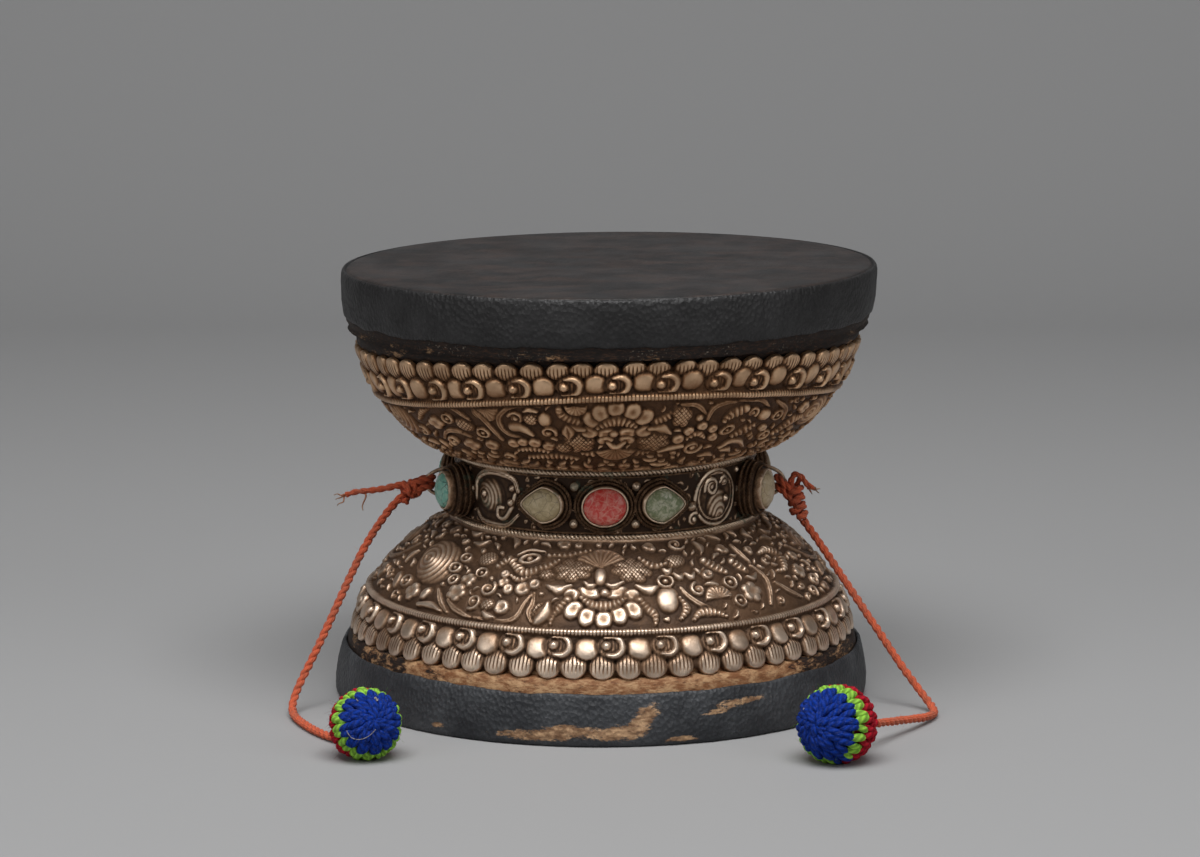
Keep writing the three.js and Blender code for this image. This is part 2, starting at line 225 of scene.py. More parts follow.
class Stock:
    """Sheets and wires gathered into one piece, in millimetres."""

    def __init__(self, *marks):
        self.points, self.faces, self.charts = [], [], []
        self.marks = {name: [] for name in marks}
        self.count = 0

    def add(self, points, faces, charts, marks):
        self.points.append(points)
        self.faces += [f + self.count for f in faces]
        self.charts += charts
        for name, values in self.marks.items():
            values.append(np.broadcast_to(np.asarray(marks.get(name, 0.0), float), len(points)))
        self.count += len(points)

    def sheet(self, grid, close=False, caps=False, length=None, **marks):
        """Rings of points as faces; close joins the last ring to the first, caps fills both ends,
        and length is how far along the sheet each ring is, for its chart."""
        rows, columns = grid.shape[:2]
        points = grid.reshape(-1, 3)
        row, column = np.mgrid[0:rows if close else rows - 1, 0:columns]
        row, column = row.ravel(), column.ravel()
        after, above = (column + 1) % columns, (row + 1) % rows
        faces = [np.stack([row * columns + column, row * columns + after,
                           above * columns + after, above * columns + column], 1)]
        length = np.arange(rows) / rows if length is None else np.asarray(length)
        across = np.stack([column, column + 1, column + 1, column], 1) / columns
        down = np.stack([length[row], length[row], length[above], length[above]], 1)
        charts = [np.stack([across, down], -1).reshape(-1, 2)]
        if caps:
            middle = np.stack([grid[0].mean(0), grid[-1].mean(0)])
            at = np.arange(columns)
            then = (at + 1) % columns
            last = (rows - 1) * columns
            hub = np.full(columns, len(points))
            faces.append(np.stack([hub, then, at], 1))
            faces.append(np.stack([hub + 1, at + last, then + last], 1))
            charts += [np.zeros((3 * columns, 2)), np.full((3 * columns, 2), length[-1])]
            points = np.vstack([points, middle])
            marks = {k: np.append(np.broadcast_to(v, len(points) - 2), [np.ravel(v)[0], np.ravel(v)[-1]])
                     for k, v in marks.items()}
        self.add(points, faces, charts, marks)

    def wire(self, path, radius, sides=8, **marks):
        path = np.asarray(path, float)
        _, side, up = carried_frames(path)
        turn = 2 * math.pi * np.arange(sides) / sides
        ring = np.cos(turn)[:, None] * side[:, None] + np.sin(turn)[:, None] * up[:, None]
        grid = path[:, None] + np.broadcast_to(radius, len(path))[:, None, None] * ring
        self.sheet(grid, caps=True, length=run_length(path), **marks)

    def piece(self, name, finish, slot, *nodes):
        mesh = bpy.data.meshes.new(name)
        points = np.concatenate(self.points) * MM
        sizes = np.concatenate([np.full(len(f), f.shape[1]) for f in self.faces])
        corners = np.concatenate([f.ravel() for f in self.faces])
        mesh.vertices.add(len(points))
        mesh.vertices.foreach_set("co", points.astype(np.float32).ravel())
        mesh.loops.add(len(corners))
        mesh.loops.foreach_set("vertex_index", corners.astype(np.int32))
        mesh.polygons.add(len(sizes))
        mesh.polygons.foreach_set("loop_start", np.concatenate([[0], np.cumsum(sizes)[:-1]]).astype(np.int32))
        chart = mesh.uv_layers.new(name="chart")
        chart.data.foreach_set("uv", np.concatenate(self.charts).astype(np.float32).ravel())
        for mark, values in self.marks.items():
            data = mesh.attributes.new(mark, "FLOAT", "POINT").data
            data.foreach_set("value", np.concatenate(values).astype(np.float32))
        mesh.update(calc_edges=True)
        mesh.shade_smooth()
        mesh.materials.append(finish.material)
        made = bpy.data.objects.new(name, mesh)
        bpy.context.scene.collection.objects.link(made)
        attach(made, "root")
        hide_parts(*nodes)
        return made


def laid_cord(stock, points, radius=CORD_R, taper=1.0):
    """Two plies twisted round each other along a route."""
    path = curve_through(points, 0.35)
    _, side, up = carried_frames(path)
    walked = run_length(path)
    thick = radius * np.linspace(1, taper, len(path))
    for ply in (0, 1):
        turn = 2 * math.pi * (walked / PLY_TURN + ply / 2)
        offset = spun(side, up, turn)
        wobble = 1 + 0.05 * np.sin(walked * 2.3 + ply) + 0.04 * np.sin(walked * 5.1 + 2 * ply)
        stock.wire(path + 0.37 * thick[:, None] * offset, 0.65 * thick * wobble, 10)
    return path


def fuzz(stock, path, radius, count, dice):
    """Loose fibres standing off a cord."""
    for _ in range(count):
        root = path[dice.integers(len(path))]
        out = dice.normal(size=3)
        out /= np.linalg.norm(out)
        bend = dice.normal(size=3) * 0.5
        reach = 0.95 * dice.uniform(0.4, 1)
        start = root + out * radius * 0.9
        t = np.linspace(0, 1, 5)[:, None]
        hair = start + reach * (t * (out * 0.5 + bend) + t**2 * dice.normal(size=3) * 0.4)
        hair[:, 2] = np.maximum(hair[:, 2], 0.05)
        stock.wire(hair, 0.03 * np.linspace(1, 0.4, 5), 3)


cord_dye = Finish("dyed_cotton")
around, along = cord_dye.chart()
strands = ((around * 7 + along * 0.75) * (2 * math.pi)).wave() * 0.5 + 0.5
worn = cord_dye.between(cord_dye.noise(5, 5), 0.42, 0.68)
dirt = cord_dye.between(cord_dye.noise(1.2, 4), 0.45, 0.7)
frayed = cord_dye.mark("tone")
dyed = cord_dye.blend(worn, (0.66, 0.125, 0.052), (0.52, 0.125, 0.062))
dyed = cord_dye.blend(dirt * 0.38, dyed, (0.20, 0.060, 0.035))
# Painted shade: darker red-brown in the grooves between the strands, where the bump is low.
dyed = cord_dye.blend((1 - strands) * 0.25, dyed, (0.17, 0.035, 0.02))
dyed = cord_dye.blend(frayed, dyed, (0.50, 0.30, 0.17))
cord_dye.lay({
    "Base Color": dyed,
    "Roughness": 0.88,
    "Sheen Weight": 0.1,
    "Specular IOR Level": 0.25,
    "Normal": cord_dye.bump(strands * 0.7 + cord_dye.noise(0.25, 3) * 0.5, 0.12),
})

for side, route in (("left", LEFT_ROUTE), ("right", RIGHT_ROUTE)):
    dice = np.random.default_rng(11 if side == "left" else 12)
    stock = Stock("tone")
    path = laid_cord(stock, route)
    fuzz(stock, path, CORD_R, 140, dice)
    stock.piece(f"{side}_twisted_cord", cord_dye, "red_cord", f"{side}_cord")

# ---- The cords' knots ----
# Each cord is hitched through its wire loop, wrapped round itself and drawn tight.
# The spare end is left long and has come undone into strands at its tip.


def wraps(start, end, radius, turns, lean=0.0):
    """A helix of cord round the straight line from start to end."""
    start, end = np.asarray(start, float), np.asarray(end, float)
    count = int(turns * 10) + 1
    _, side, up = carried_frames(np.linspace(start, end, count))
    turn = 2 * math.pi * (np.linspace(0, turns, count) + lean)
    return np.linspace(start, end, count) + radius * spun(side, up, turn)


def frayed_end(stock, tip, ways, dice, length, thin=0.28):
    """Loose strands spreading from a tip, pale where the dye has gone."""
    for way in ways:
        way = np.asarray(way, float)
        way /= np.linalg.norm(way)
        t = np.linspace(0, 1, 9)[:, None]
        drop = np.array([0, 0, -1]) * t**2 * length * 0.12
        strand = np.asarray(tip) + length * t * way + drop
        strand = strand + 0.18 * np.sin(t * 9 + dice.uniform(0, 6)) * dice.normal(size=3)
        pale = np.repeat(np.linspace(0.2, 1, 9), 6)
        stock.wire(strand, thin * np.linspace(1, 0.35, 9), 6, tone=pale)


left_knot = Stock("tone")
dice = np.random.default_rng(21)
for lift in (-0.9, 0.9):
    laid_cord(left_knot, [
        (-47.6, -1.9, 49.6 + lift), (-45.2, -2.0, 50.6 + lift), (-43.0, -1.2, 51.0 + lift),
        (-42.4, 0.2, 51.1 + lift), (-43.2, 1.5, 51.0 + lift), (-45.4, 1.6, 50.3 + lift),
        (-47.4, 0.2, 49.6 + lift),
    ], 0.95)
laid_cord(left_knot, wraps((-45.8, -0.4, 49.9), (-49.4, -1.4, 48.9), 1.55, 2.1), 0.95)
laid_cord(left_knot, wraps((-47.2, -0.9, 48.6), (-49.8, -1.7, 47.0), 1.1, 1.2, 0.3), 0.9)
laid_cord(left_knot, [(-47.2, -0.9, 50.2), (-50.4, -1.2, 50.3), (-54, -1.5, 49.6), (-57.6, -1.8, 49.1),
                      (-61.2, -2.1, 48.8), (-63.6, -2.3, 48.1)], 0.98, 0.72)
frayed_end(left_knot, (-58.6, -2.0, 49.0), [(-0.22, -0.1, -0.9)], dice, 4.6, 0.3)
frayed_end(left_knot, (-63.2, -2.3, 48.1), [(-0.9, -0.1, 0.12), (-0.8, 0.2, -0.25), (-0.62, -0.2, -0.62)],
           dice, 3.4)
fuzz(left_knot, np.linspace((-45, -1, 50), (-64, -2.2, 48.4), 40), 0.9, 90, dice)
left_tied = left_knot.piece("left_hitch_and_tail", cord_dye, "red_cord", "left_cord_knot")

right_knot = Stock("tone")
dice = np.random.default_rng(22)
for lift in (-1.1, 1.0):
    laid_cord(right_knot, [
        (47.0, -1.9, 46.9 + lift * 1.4), (44.6, -2.0, 49.2 + lift), (42.9, -1.3, 50.7 + lift),
        (42.2, 0.2, 51.1 + lift), (43.2, 1.4, 50.6 + lift), (45.4, 1.4, 48.4 + lift),
        (47.0, 0.3, 46.4 + lift),
    ], 0.92)
laid_cord(right_knot, wraps((46.6, -0.9, 49.4), (47.9, -1.7, 42.4), 1.45, 3.3), 1.0)
laid_cord(right_knot, [(46.0, -1.2, 49.4), (45.8, -1.6, 51.6), (46.7, -2.0, 53.2), (48.2, -2.1, 52.6),
                       (49.4, -2.2, 50.9), (51.2, -2.3, 49.9)], 0.85, 0.8)
laid_cord(right_knot, [(47.2, -0.4, 50.0), (48.0, -0.6, 51.9), (49.2, -0.8, 51.2), (50.2, -0.9, 49.4)],
          0.8, 0.75)
frayed_end(right_knot, (51.0, -2.3, 49.9), [(0.9, -0.2, -0.1), (0.7, 0.1, -0.5)], dice, 1.7)
frayed_end(right_knot, (50.1, -0.9, 49.5), [(0.5, -0.2, -0.7), (0.8, 0.0, -0.2)], dice, 1.6)
fuzz(right_knot, np.linspace((46, -1.4, 51), (48.2, -1.9, 43), 40), 1.6, 90, dice)
right_tied = right_knot.piece("right_hitch_and_tails", cord_dye, "red_cord", "right_cord_knot")

# ---- The striker balls ----
# Each cord ends in a ball crocheted round a core in thick yarn: a blue cap, a zigzag round of lime
# and a crimson back that the cord goes into.

ROW_STITCHES = [6, 10, 13, 15, 15, 13, 10, 6]
BLUE, LIME, CRIMSON, WHITE = 0.05, 0.35, 0.65, 0.95

yarn = Finish("crochet_yarn_dyes")
dye = yarn.ramp(
    yarn.mark("dye"),
    (0.0, (0.0006, 0.033, 0.30)), (0.2, (0.32, 0.66, 0.07)),
    (0.5, (0.48, 0.004, 0.02)), (0.8, (0.6, 0.55, 0.5)),
)
dye.socket.node.color_ramp.interpolation = "CONSTANT"
around, along = yarn.chart()
plies = ((around * 3 + along * 0.62) * (2 * math.pi)).wave() * 0.5 + 0.5
fibres = yarn.noise(0.16, 3)
# Painted shade: the dye darkened towards black in the grooves between the plies, where the bump is low.
shade = yarn.blend((1 - plies) * 0.5, dye, (0.0, 0.0, 0.0), "MULTIPLY")
shade = yarn.blend(yarn.between(fibres, 0.5, 0.75) * 0.35, shade, yarn.blend(0.5, dye, (0.5, 0.5, 0.5)))
yarn.lay({
    "Base Color": shade,
    "Roughness": 0.95,
    "Specular IOR Level": 0.12,
    "Normal": yarn.bump(plies * 0.8 + fibres * 0.5, 0.2),
})


def crocheted_ball(centre, radius, axis, seed):
    """The ball's stock, and the function that finds a place on it."""
    dice = np.random.default_rng(seed)
    centre = np.asarray(centre, float)
    axis = np.asarray(axis, float) / np.linalg.norm(axis)
    side = np.cross(axis, (0, 0, 1))
    side /= np.linalg.norm(side)
    up = np.cross(side, axis)
    stock = Stock("dye")

    def on_ball(fall, turn, out=0.0):
        """The point at an angle from the blue pole and an angle round it, out from the surface."""
        level = np.cos(turn)[..., None] * side + np.sin(turn)[..., None] * up
        way = np.cos(fall)[..., None] * axis + np.sin(fall)[..., None] * level
        point = centre + (radius + np.asarray(out))[..., None] * way
        point[..., 2] = np.maximum(point[..., 2], 0.95)
        return point

    fall = np.linspace(0.01, math.pi - 0.01, 24)[:, None]
    turn = 2 * math.pi * np.arange(36)[None] / 36
    core = on_ball(fall + 0 * turn, -turn + 0 * fall, np.full((24, 36), -1.4))
    core_dye = np.where(fall + 0 * turn < 1.15, BLUE, CRIMSON)
    stock.sheet(core, caps=True, dye=core_dye.ravel())
    edges = np.linspace(0.03, math.pi - 0.1, len(ROW_STITCHES) + 1)
    for row, stitches in enumerate(ROW_STITCHES):
        lift = dice.uniform(0, 1)
        for n in range(stitches):
            at = 2 * math.pi * (n + lift + dice.uniform(-0.12, 0.12)) / stitches
            half = math.pi / stitches
            colour = BLUE if row < 3 else CRIMSON
            reach_in, reach_out = 0.14, 0.12
            if row == 3:
                colour = LIME if dice.uniform() < 0.9 else BLUE
                reach_in = dice.choice([0.05, 0.3])
            if row == 4 and dice.uniform() < 0.3:
                colour = LIME
            for leg in (-1, 1):
                t = np.linspace(0, 1, 9)
                falls = edges[row] - reach_in + t * (edges[row + 1] - edges[row] + reach_in + reach_out)
                falls = np.clip(falls, 0.05, math.pi - 0.05)
                spread = 0.14 + 0.62 * np.sin(t * math.pi * 0.62) + dice.uniform(-0.1, 0.1)
                turns = at + leg * half * spread
                arch = np.sin(math.pi * np.clip(t * 1.02, 0, 1)) ** 0.6
                out = -1.25 + 1.1 * arch + dice.uniform(-0.15, 0.12)
                thick = (0.92 + dice.uniform(-0.1, 0.1)) * (0.55 + 0.45 * np.sin(math.pi * t) ** 0.7)
                if row == 0:
                    thick = thick * 0.8
                stock.wire(on_ball(falls, turns, out), thick, 9, dye=colour)
    for _ in range(520):
        fall, turn = math.acos(dice.uniform(-0.95, 1)), dice.uniform(0, 2 * math.pi)
        root = on_ball(np.array(fall), np.array(turn), np.array(-0.1))
        out = root - centre
        out /= np.linalg.norm(out)
        t = np.linspace(0, 1, 5)[:, None]
        reach = dice.uniform(0.5, 1.5)
        lean = out * 0.55 + dice.normal(size=3) * 0.45
        hair = root + reach * (t * lean + t**2 * dice.normal(size=3) * 0.3)
        hair[:, 2] = np.maximum(hair[:, 2], 0.05)
        colour = BLUE if fall < 1.05 else LIME if fall < 1.3 else CRIMSON
        stock.wire(hair, 0.035 * np.linspace(1, 0.5, 5), 3, dye=colour)
    return stock, on_ball


left_stock, on_left = crocheted_ball((-55.2, -74.5, 7.9), 7.9, (0.33, -0.87, 0.33), 31)
t = np.linspace(0, 1, 24)
few = t[:9]
loose = on_left(0.85 - 0.5 * t + 0.1 * np.sin(5 * t), -0.25 - 1.2 * t, 0.8 + 0 * t)
left_stock.wire(loose, 0.09, 5, dye=WHITE)
for n in range(5):
    stitch = on_left(0.62 + 0.06 * np.sin(7 * few + n), 1.72 + 0.02 * n + 0.22 * few, 0.75 + 0.1 * few)
    left_stock.wire(stitch, 0.13, 5, dye=WHITE)
left_stock.wire(on_left(0.72 + 0.25 * few, 1.0 + 0.05 * few, 0.8 + 0 * few), 0.12, 5, dye=WHITE)
left_ball = left_stock.piece("left_crocheted_ball", yarn, "crochet_yarn", "left_striker_ball")

right_stock, on_right = crocheted_ball((53.1, -78, 8.7), 8.7, (-0.6, -0.77, 0.2), 32)
stitch = on_right(0.55 + 0.03 * np.sin(9 * few), 0.55 + 0.25 * few, 0.8 + 0 * few)
right_stock.wire(stitch, 0.12, 5, dye=WHITE)
right_ball = right_stock.piece("right_crocheted_ball", yarn, "crochet_yarn", "right_striker_ball")

for side, way, route, tied, ball in (
    ("left", -1, LEFT_ROUTE, left_tied, left_ball),
    ("right", 1, RIGHT_ROUTE, right_tied, right_ball),
):
    path = curve_through(route, 1.0)

# ---- The hides ----
# A wetted goat hide is drawn over each mouth, glued down the rim and blackened.
# The upper one is whole; the lower has gone grey and rubbed through to its tan where it is held.

HEIGHT = 105.2
LEAN = 2.0
TILT = math.tan(math.radians(0.6))
WAIST = (44.0, 61.0)
COLUMNS = 500
PLAIN_RUN = 12  # a straight run longer than this is plain, and takes rows three times as far apart


def settled(points):
    """The lean and tilt that the whole drum stands at."""
    points = np.array(points, float)
    x, z = points[..., 0].copy(), points[..., 2].copy()
    t = np.clip((z - WAIST[0]) / (WAIST[1] - WAIST[0]), 0, 1)
    points[..., 0] = x + LEAN * (z / HEIGHT - 0.5)
    points[..., 2] = z + TILT * x * t * t * (3 - 2 * t)
    return points


def rows_along(a, b, step):
    """Points from a up to but not including b."""
    a, b = np.asarray(a, float), np.asarray(b, float)
    length = np.linalg.norm(b - a)
    count = max(1, round(length / (3 * step if length > PLAIN_RUN else step)))
    return a + (b - a) * np.linspace(0, 1, count, endpoint=False)[:, None]


def turned(profile, step, columns=COLUMNS):
    """A profile of [radius, z] points turned about the axis, as rows × columns × [azimuth, r, z].
    Azimuth is in degrees from the front."""
    path = np.vstack([*(rows_along(a, b, step) for a, b in zip(profile, profile[1:])), profile[-1:]])
    return around_axis(360 * np.arange(columns) / columns - 180, path[:, 0], path[:, 1])


def around_axis(azimuth, radius, z):
    """A radius and a height for each row, at each azimuth."""
    rows, columns = len(radius), len(azimuth)
    return np.stack([np.tile(azimuth, (rows, 1)), np.tile(radius[:, None], columns),
                     np.tile(z[:, None], columns)], -1)


def upright(grid):
    """Points in space from azimuth, radius and height."""
    azimuth = np.radians(grid[..., 0])
    return np.stack([grid[..., 1] * np.sin(azimuth), -grid[..., 1] * np.cos(azimuth), grid[..., 2]], -1)


def ripple(points, size, seed, waves=20):
    """A smooth random swell, mostly within 1 of nothing, with bumps about size across."""
    dice = np.random.default_rng(seed)
    ways = dice.normal(size=(waves, 3)) * math.pi / size
    phase = dice.uniform(0, 2 * math.pi, waves)
    return np.cos(np.asarray(points) @ ways.T + phase).sum(-1) / math.sqrt(2 * waves)


def hide_finish(name, dark, dusty, tan, scuffed):
    hide = Finish(name)
    streaked = hide.place((0.5, 1.0, 0.6))
    streaks = hide.between(hide.noise(5, 8, 0.68, streaked, 0.6), 0.38, 0.74)
    cloud = hide.between(hide.noise(16, 7, 0.65), 0.36, 0.70)
    grain = hide.cells(1.0, hide.place((1, 1, 0.8)))
    fine = hide.noise(0.5, 4)
    flat = hide.mark("flat")
    colour = hide.blend(cloud * 0.7, dark, dusty)
    colour = hide.blend(streaks * flat * 0.5, colour, tan)
    colour = hide.blend(hide.between(fine, 0.55, 0.8) * 0.3, colour, dusty)
    rubbed = hide.mark("rubbed")
    scuffs = hide.between(hide.noise(1.1, 7, 0.78, hide.place((0.5, 0.5, 1.3))), 0.54, 0.74) * cloud
    colour = hide.blend(scuffs * scuffed, colour, (0.24, 0.25, 0.27))
    edge = hide.noise(1.0, 7, 0.8, hide.place((0.45, 0.45, 1.5)))
    bare = hide.between(rubbed + (edge - 0.5) * 2.4, 0.56, 0.80)
    fibres = hide.between(hide.noise(1.6, 5, place=hide.place((0.5, 0.5, 1.4))), 0.35, 0.7)
    colour = hide.blend(bare, colour, hide.blend(fibres, (0.17, 0.085, 0.040), (0.50, 0.31, 0.17)))
    hide.lay({
        "Base Color": colour,
        "Roughness": 0.44 + 0.2 * fine + 0.12 * bare - 0.06 * cloud,
        "Specular IOR Level": 0.42,
        "Normal": hide.bump(grain * (1 - 0.75 * flat) * 0.9 + fine * 0.35, 0.34),
    })
    return hide


black_hide = hide_finish(
    "black_hide_finish",
    dark=(0.0095, 0.0090, 0.0092), dusty=(0.029, 0.0285, 0.029), tan=(0.075, 0.044, 0.034), scuffed=0.10,
)
grey_hide = hide_finish(
    "grey_hide_finish",
    dark=(0.018, 0.0195, 0.023), dusty=(0.060, 0.064, 0.070), tan=(0.16, 0.09, 0.05), scuffed=0.55,
)

upper_profile = [
    (0.4, 104.3), (40, 104.3), (63.9, 104.3), (63.9, 95.0), (63.95, 93.8), (64.2, 93.6), (64.45, 93.8),
    (64.65, 94.6), (65.1, 97.6), (65.3, 102), (65.25, 104.0), (65.1, 104.6), (64.8, 105.0),
    (64.45, 104.95), (64.25, 104.45), (64.05, 104.35), (63.85, 104.85), (63.4, 105.12), (62.4, 105.2),
    (40, 105.15), (0.4, 105.1),
]
grid = turned(upper_profile, 0.9)
space = upright(grid)
skirt = np.clip((grid[..., 1] - 64.5) / 0.4, 0, 1) * (grid[..., 2] < 104.9)
low = np.clip((98 - grid[..., 2]) / 4, 0, 1)
edge = ripple(space * (1, 1, 0), 9, 41) * 0.3 + ripple(space * (1, 1, 0), 2.5, 42) * 0.12
grid[..., 2] += low * edge
grid[..., 1] += skirt * (0.10 * ripple(space, 6, 43) + 0.05 * ripple(space * (1, 1, 0.5), 1.6, 44))
top = np.clip((63.6 - grid[..., 1]) / 3, 0, 1) * (grid[..., 2] > 104.6)
grid[..., 2] += top * 0.10 * ripple(space, 20, 45)
upper_hide = Stock("flat", "rubbed")
on_top = ((grid[..., 2] > 104.6) & (grid[..., 1] < 64.3)).astype(float)
upper_hide.sheet(settled(upright(grid)), caps=True, flat=on_top.ravel())
upper_hide.piece("upper_drumskin", black_hide, "black_hide", "upper_head")

lower_profile = [
    (0.4, 0.0), (40, 0.0), (64.4, 0.0), (65.1, 0.15), (65.5, 0.6), (65.6, 1.4), (65.6, 3.4), (65.4, 5.2),
    (65.05, 7.4), (64.5, 9.8), (63.95, 11.8), (63.6, 12.35), (63.2, 12.35), (63.0, 12.0), (64.5, 5.2),
    (64.6, 1.0), (0.4, 0.9),
]
grid = turned(lower_profile, 0.6)
space = upright(grid)
skirt = np.clip((grid[..., 1] - 62.8) / 0.4, 0, 1)
low = np.clip((grid[..., 2] - 7) / 5, 0, 1)
grid[..., 2] += low * (0.35 * ripple(space * (1, 1, 0), 12, 46) + 0.12 * ripple(space * (1, 1, 0), 2.2, 47))
grid[..., 1] += skirt * (0.10 * ripple(space, 7, 48) + 0.045 * ripple(space, 1.5, 49))
azimuth, z = grid[..., 0], grid[..., 2]


def patch(az, height, wide, tall, slant):
    """1 in the middle of a worn patch, falling off round it."""
    across = (azimuth - az + 180) % 360 - 180
    rise = z - height - slant * across
    return np.exp(-((across / wide) ** 2 + (rise / tall) ** 2) ** 1.5)


PATCHES = [  # azimuth, height, width in degrees, height in millimetres, slant
    (9, 7.2, 3.4, 3.0, 0.5), (4, 3.4, 6.5, 2.2, 0), (-13, 2.6, 11, 1.5, 0), (-7, 4.4, 5, 1.3, 0),
    (30, 8.8, 8, 1.0, 0.05), (24, 7.0, 4, 0.6, 0.1), (-36, 2.6, 2, 0.8, 0), (17, 1.6, 4, 0.8, 0),
    (112, 5, 9, 1.6, 0), (150, 3, 12, 1.2, 0), (-140, 6, 8, 1.6, 0), (-100, 3, 7, 1.2, 0),
    (180, 8, 9, 1.2, 0),
]
rubbed = sum(patch(*worn_place) for worn_place in PATCHES)
lower_hide = Stock("flat", "rubbed")
lower_hide.sheet(settled(upright(grid)), caps=True, rubbed=np.clip(rubbed, 0, 1).ravel())
lower_hide.piece("lower_drumskin", grey_hide, "grey_hide", "lower_head")

# ---- The wooden body ----
# An hourglass turned from one block and bored through its neck.
# It shows only as a strip between each hide and its metal: stained nearly black above, rubbed below.

WALL = 1.3  # from the embossed ground to the wood
UPPER = {"rim_z": 90.6, "rim_r": 62.0, "waist_z": 61.0, "waist_r": 38.0, "bulge": 1.6, "close": 0.57}
LOWER = {"rim_z": 15.0, "rim_r": 61.7, "waist_z": 44.0, "waist_r": 36.0, "bulge": 1.7, "close": 0.78}
GROUND = 0.6  # from the bowl's outline in to the embossed ground
LOPSIDED = 9  # degrees from the front at which the upper metal's rim and rope are highest


def bowl_radius(bowl, z):
    t = np.clip((np.asarray(z, float) - bowl["rim_z"]) / (bowl["waist_z"] - bowl["rim_z"]), 0, 1)
    return bowl["waist_r"] + (bowl["rim_r"] - bowl["waist_r"]) * (1 - t ** bowl["bulge"]) ** bowl["close"]


wood = Finish("stained_wood")
pore = wood.noise(0.7, 6, 0.7, wood.place((0.5, 0.5, 1.6)))
streak = wood.noise(2.2, 7, 0.72, wood.place((0.6, 0.6, 1.5)), 0.2)
worn = wood.mark("worn")
specks = wood.between(wood.noise(0.55, 3, 0.6), 0.60, 0.70)
glue = wood.mark("glue") * specks
bare = wood.between(worn + (streak - 0.5) * 1.3 + (pore - 0.5) * 0.9, 0.34, 0.62)
colour = wood.blend(wood.between(pore, 0.4, 0.7), (0.010, 0.0065, 0.0055), (0.040, 0.022, 0.014))
tan = wood.blend(wood.between(streak, 0.40, 0.66), (0.21, 0.085, 0.033), (0.50, 0.305, 0.160))
colour = wood.blend(bare, colour, tan)
colour = wood.blend(wood.between(pore, 0.52, 0.68) * 0.72, colour, (0.075, 0.034, 0.018))
colour = wood.blend(glue, colour, (0.42, 0.36, 0.28))
wood.lay({
    "Base Color": colour,
    "Roughness": 0.55 + 0.25 * pore,
    "Specular IOR Level": 0.28,
    "Normal": wood.bump(pore * 0.6 + streak * 0.5 + glue * 0.8, 0.25),
})

UPPER_SAG = 6.8  # how much lower the upper metal's rope hangs at the sides
RIM_SHARE = 0.5  # the rim's share of that
upper_z = np.append(np.linspace(90.4, 80, 14), np.linspace(78, 61.5, 9))
lower_z = np.linspace(43.2, 15.6, 16)
wood_profile = [
    (59, 104), (64, 104), (64, 93.6), (63.8, 92.6), (62.9, 91.4), (62.4, 90.6),
    *zip(bowl_radius(UPPER, upper_z) - GROUND - WALL, upper_z),
    (35.3, 61.2), (35.3, 42.6),
    *zip(bowl_radius(LOWER, lower_z) - GROUND - WALL, lower_z),
    (61.7, 15.3), (62.3, 14.2), (62.75, 12.4), (64.2, 1.4), (59, 1.4),
    (57, 15), (50, 27), (36, 38), (7, 46), (7, 60), (36, 69), (50, 76), (57, 90), (59, 104),
]
grid = turned(wood_profile[::-1], 1.0, COLUMNS // 2)[:-1]
space = upright(grid)
strip = np.clip((grid[..., 1] - 61.2) / 0.6, 0, 1) * (np.abs(grid[..., 2] - 53) < 42)
grid[..., 1] += strip * (0.09 * ripple(space * (1, 1, 2), 3.5, 51) + 0.05 * ripple(space, 1.1, 52))
bare_rim = UPPER["rim_z"] - 0.4 - UPPER_SAG * RIM_SHARE * np.sin(np.radians(grid[..., 0] - LOPSIDED)) ** 2
bared = np.clip((grid[..., 2] - bare_rim) / 0.8 + 0.5, 0, 1)
bared *= (np.abs(grid[..., 2] - 85) < 6.5) * (grid[..., 1] > 56.5)
grid[..., 1] += bared * (WALL + GROUND - 0.35) * np.clip((91.6 - grid[..., 2]) / 1.4, 0, 1)
body = Stock("worn", "glue")
low_strip = (grid[..., 2] < 40).astype(float)
kept_dark = np.clip((np.abs(grid[..., 0]) - 36) / 34, 0, 1)
worn_share = low_strip * (0.68 + 0.22 * np.cos(np.radians(grid[..., 0])) ** 2 - 0.5 * kept_dark)
high_strip = (np.abs(grid[..., 2] - 91.6) < 1.4).astype(float)
glue_share = high_strip * np.clip(0.3 + 0.8 * ripple(space * (1, 1, 0), 14, 53), 0, 1)
worn_share = worn_share + bared * (1 - low_strip) * 0.52 * np.clip(ripple(space, 11, 54), 0, 1)
worn_share = worn_share + low_strip * 0.22 * ripple(space * (1, 1, 0.3), 10, 55)
body.sheet(settled(upright(grid)), close=True, worn=worn_share.ravel(), glue=glue_share.ravel())
body.piece("turned_hourglass_body", wood, "turned_wood", "wooden_body")

# ---- The embossed cladding ----
# Sheet silver is chased from both sides over pitch and bent round each bowl: two rows of petals at the
# rim, a twisted rope, then lotuses, scrolling leaves and curls on a dark ground down to the waist.

SPACING = 0.19
FACE_LIMIT = 176000
SLOTS_ROUND = 424  # fine cuts in a whole turn, on the rope and at the petals' roots
HATCH_ROUND, HATCH_DOWN = 330, 34  # fine lines on a pad, in a whole turn and down the sheet


def dome(q, *_):
    return np.clip(1 - q * q, 0, 1) ** 0.62


def pillow(q, *_):
    return np.clip(1 - q**3, 0, 1) ** 0.7


def dish(q, *_):
    """A pad with a raised lip and a hollow middle."""
    return np.clip(1 - q**5, 0, 1) ** 0.6 * (0.55 + 0.45 * np.clip((q - 0.1) / 0.55, 0, 1))


def double_line(q, *_):
    return np.clip(1 - q**4, 0, 1) * (1 - 0.7 * np.exp(-((q / 0.3) ** 2)))


def ribbed(pitch):
    """Cross ribs along a band."""
    return lambda q, run: dome(q) * (0.62 + 0.38 * np.cos(2 * math.pi * run / pitch))


FINE_RIBS, RIBS = ribbed(1.05), ribbed(1.15)


def hatched(q, *_):
    """A pad with fine lines cut both ways over it."""
    return pillow(q)


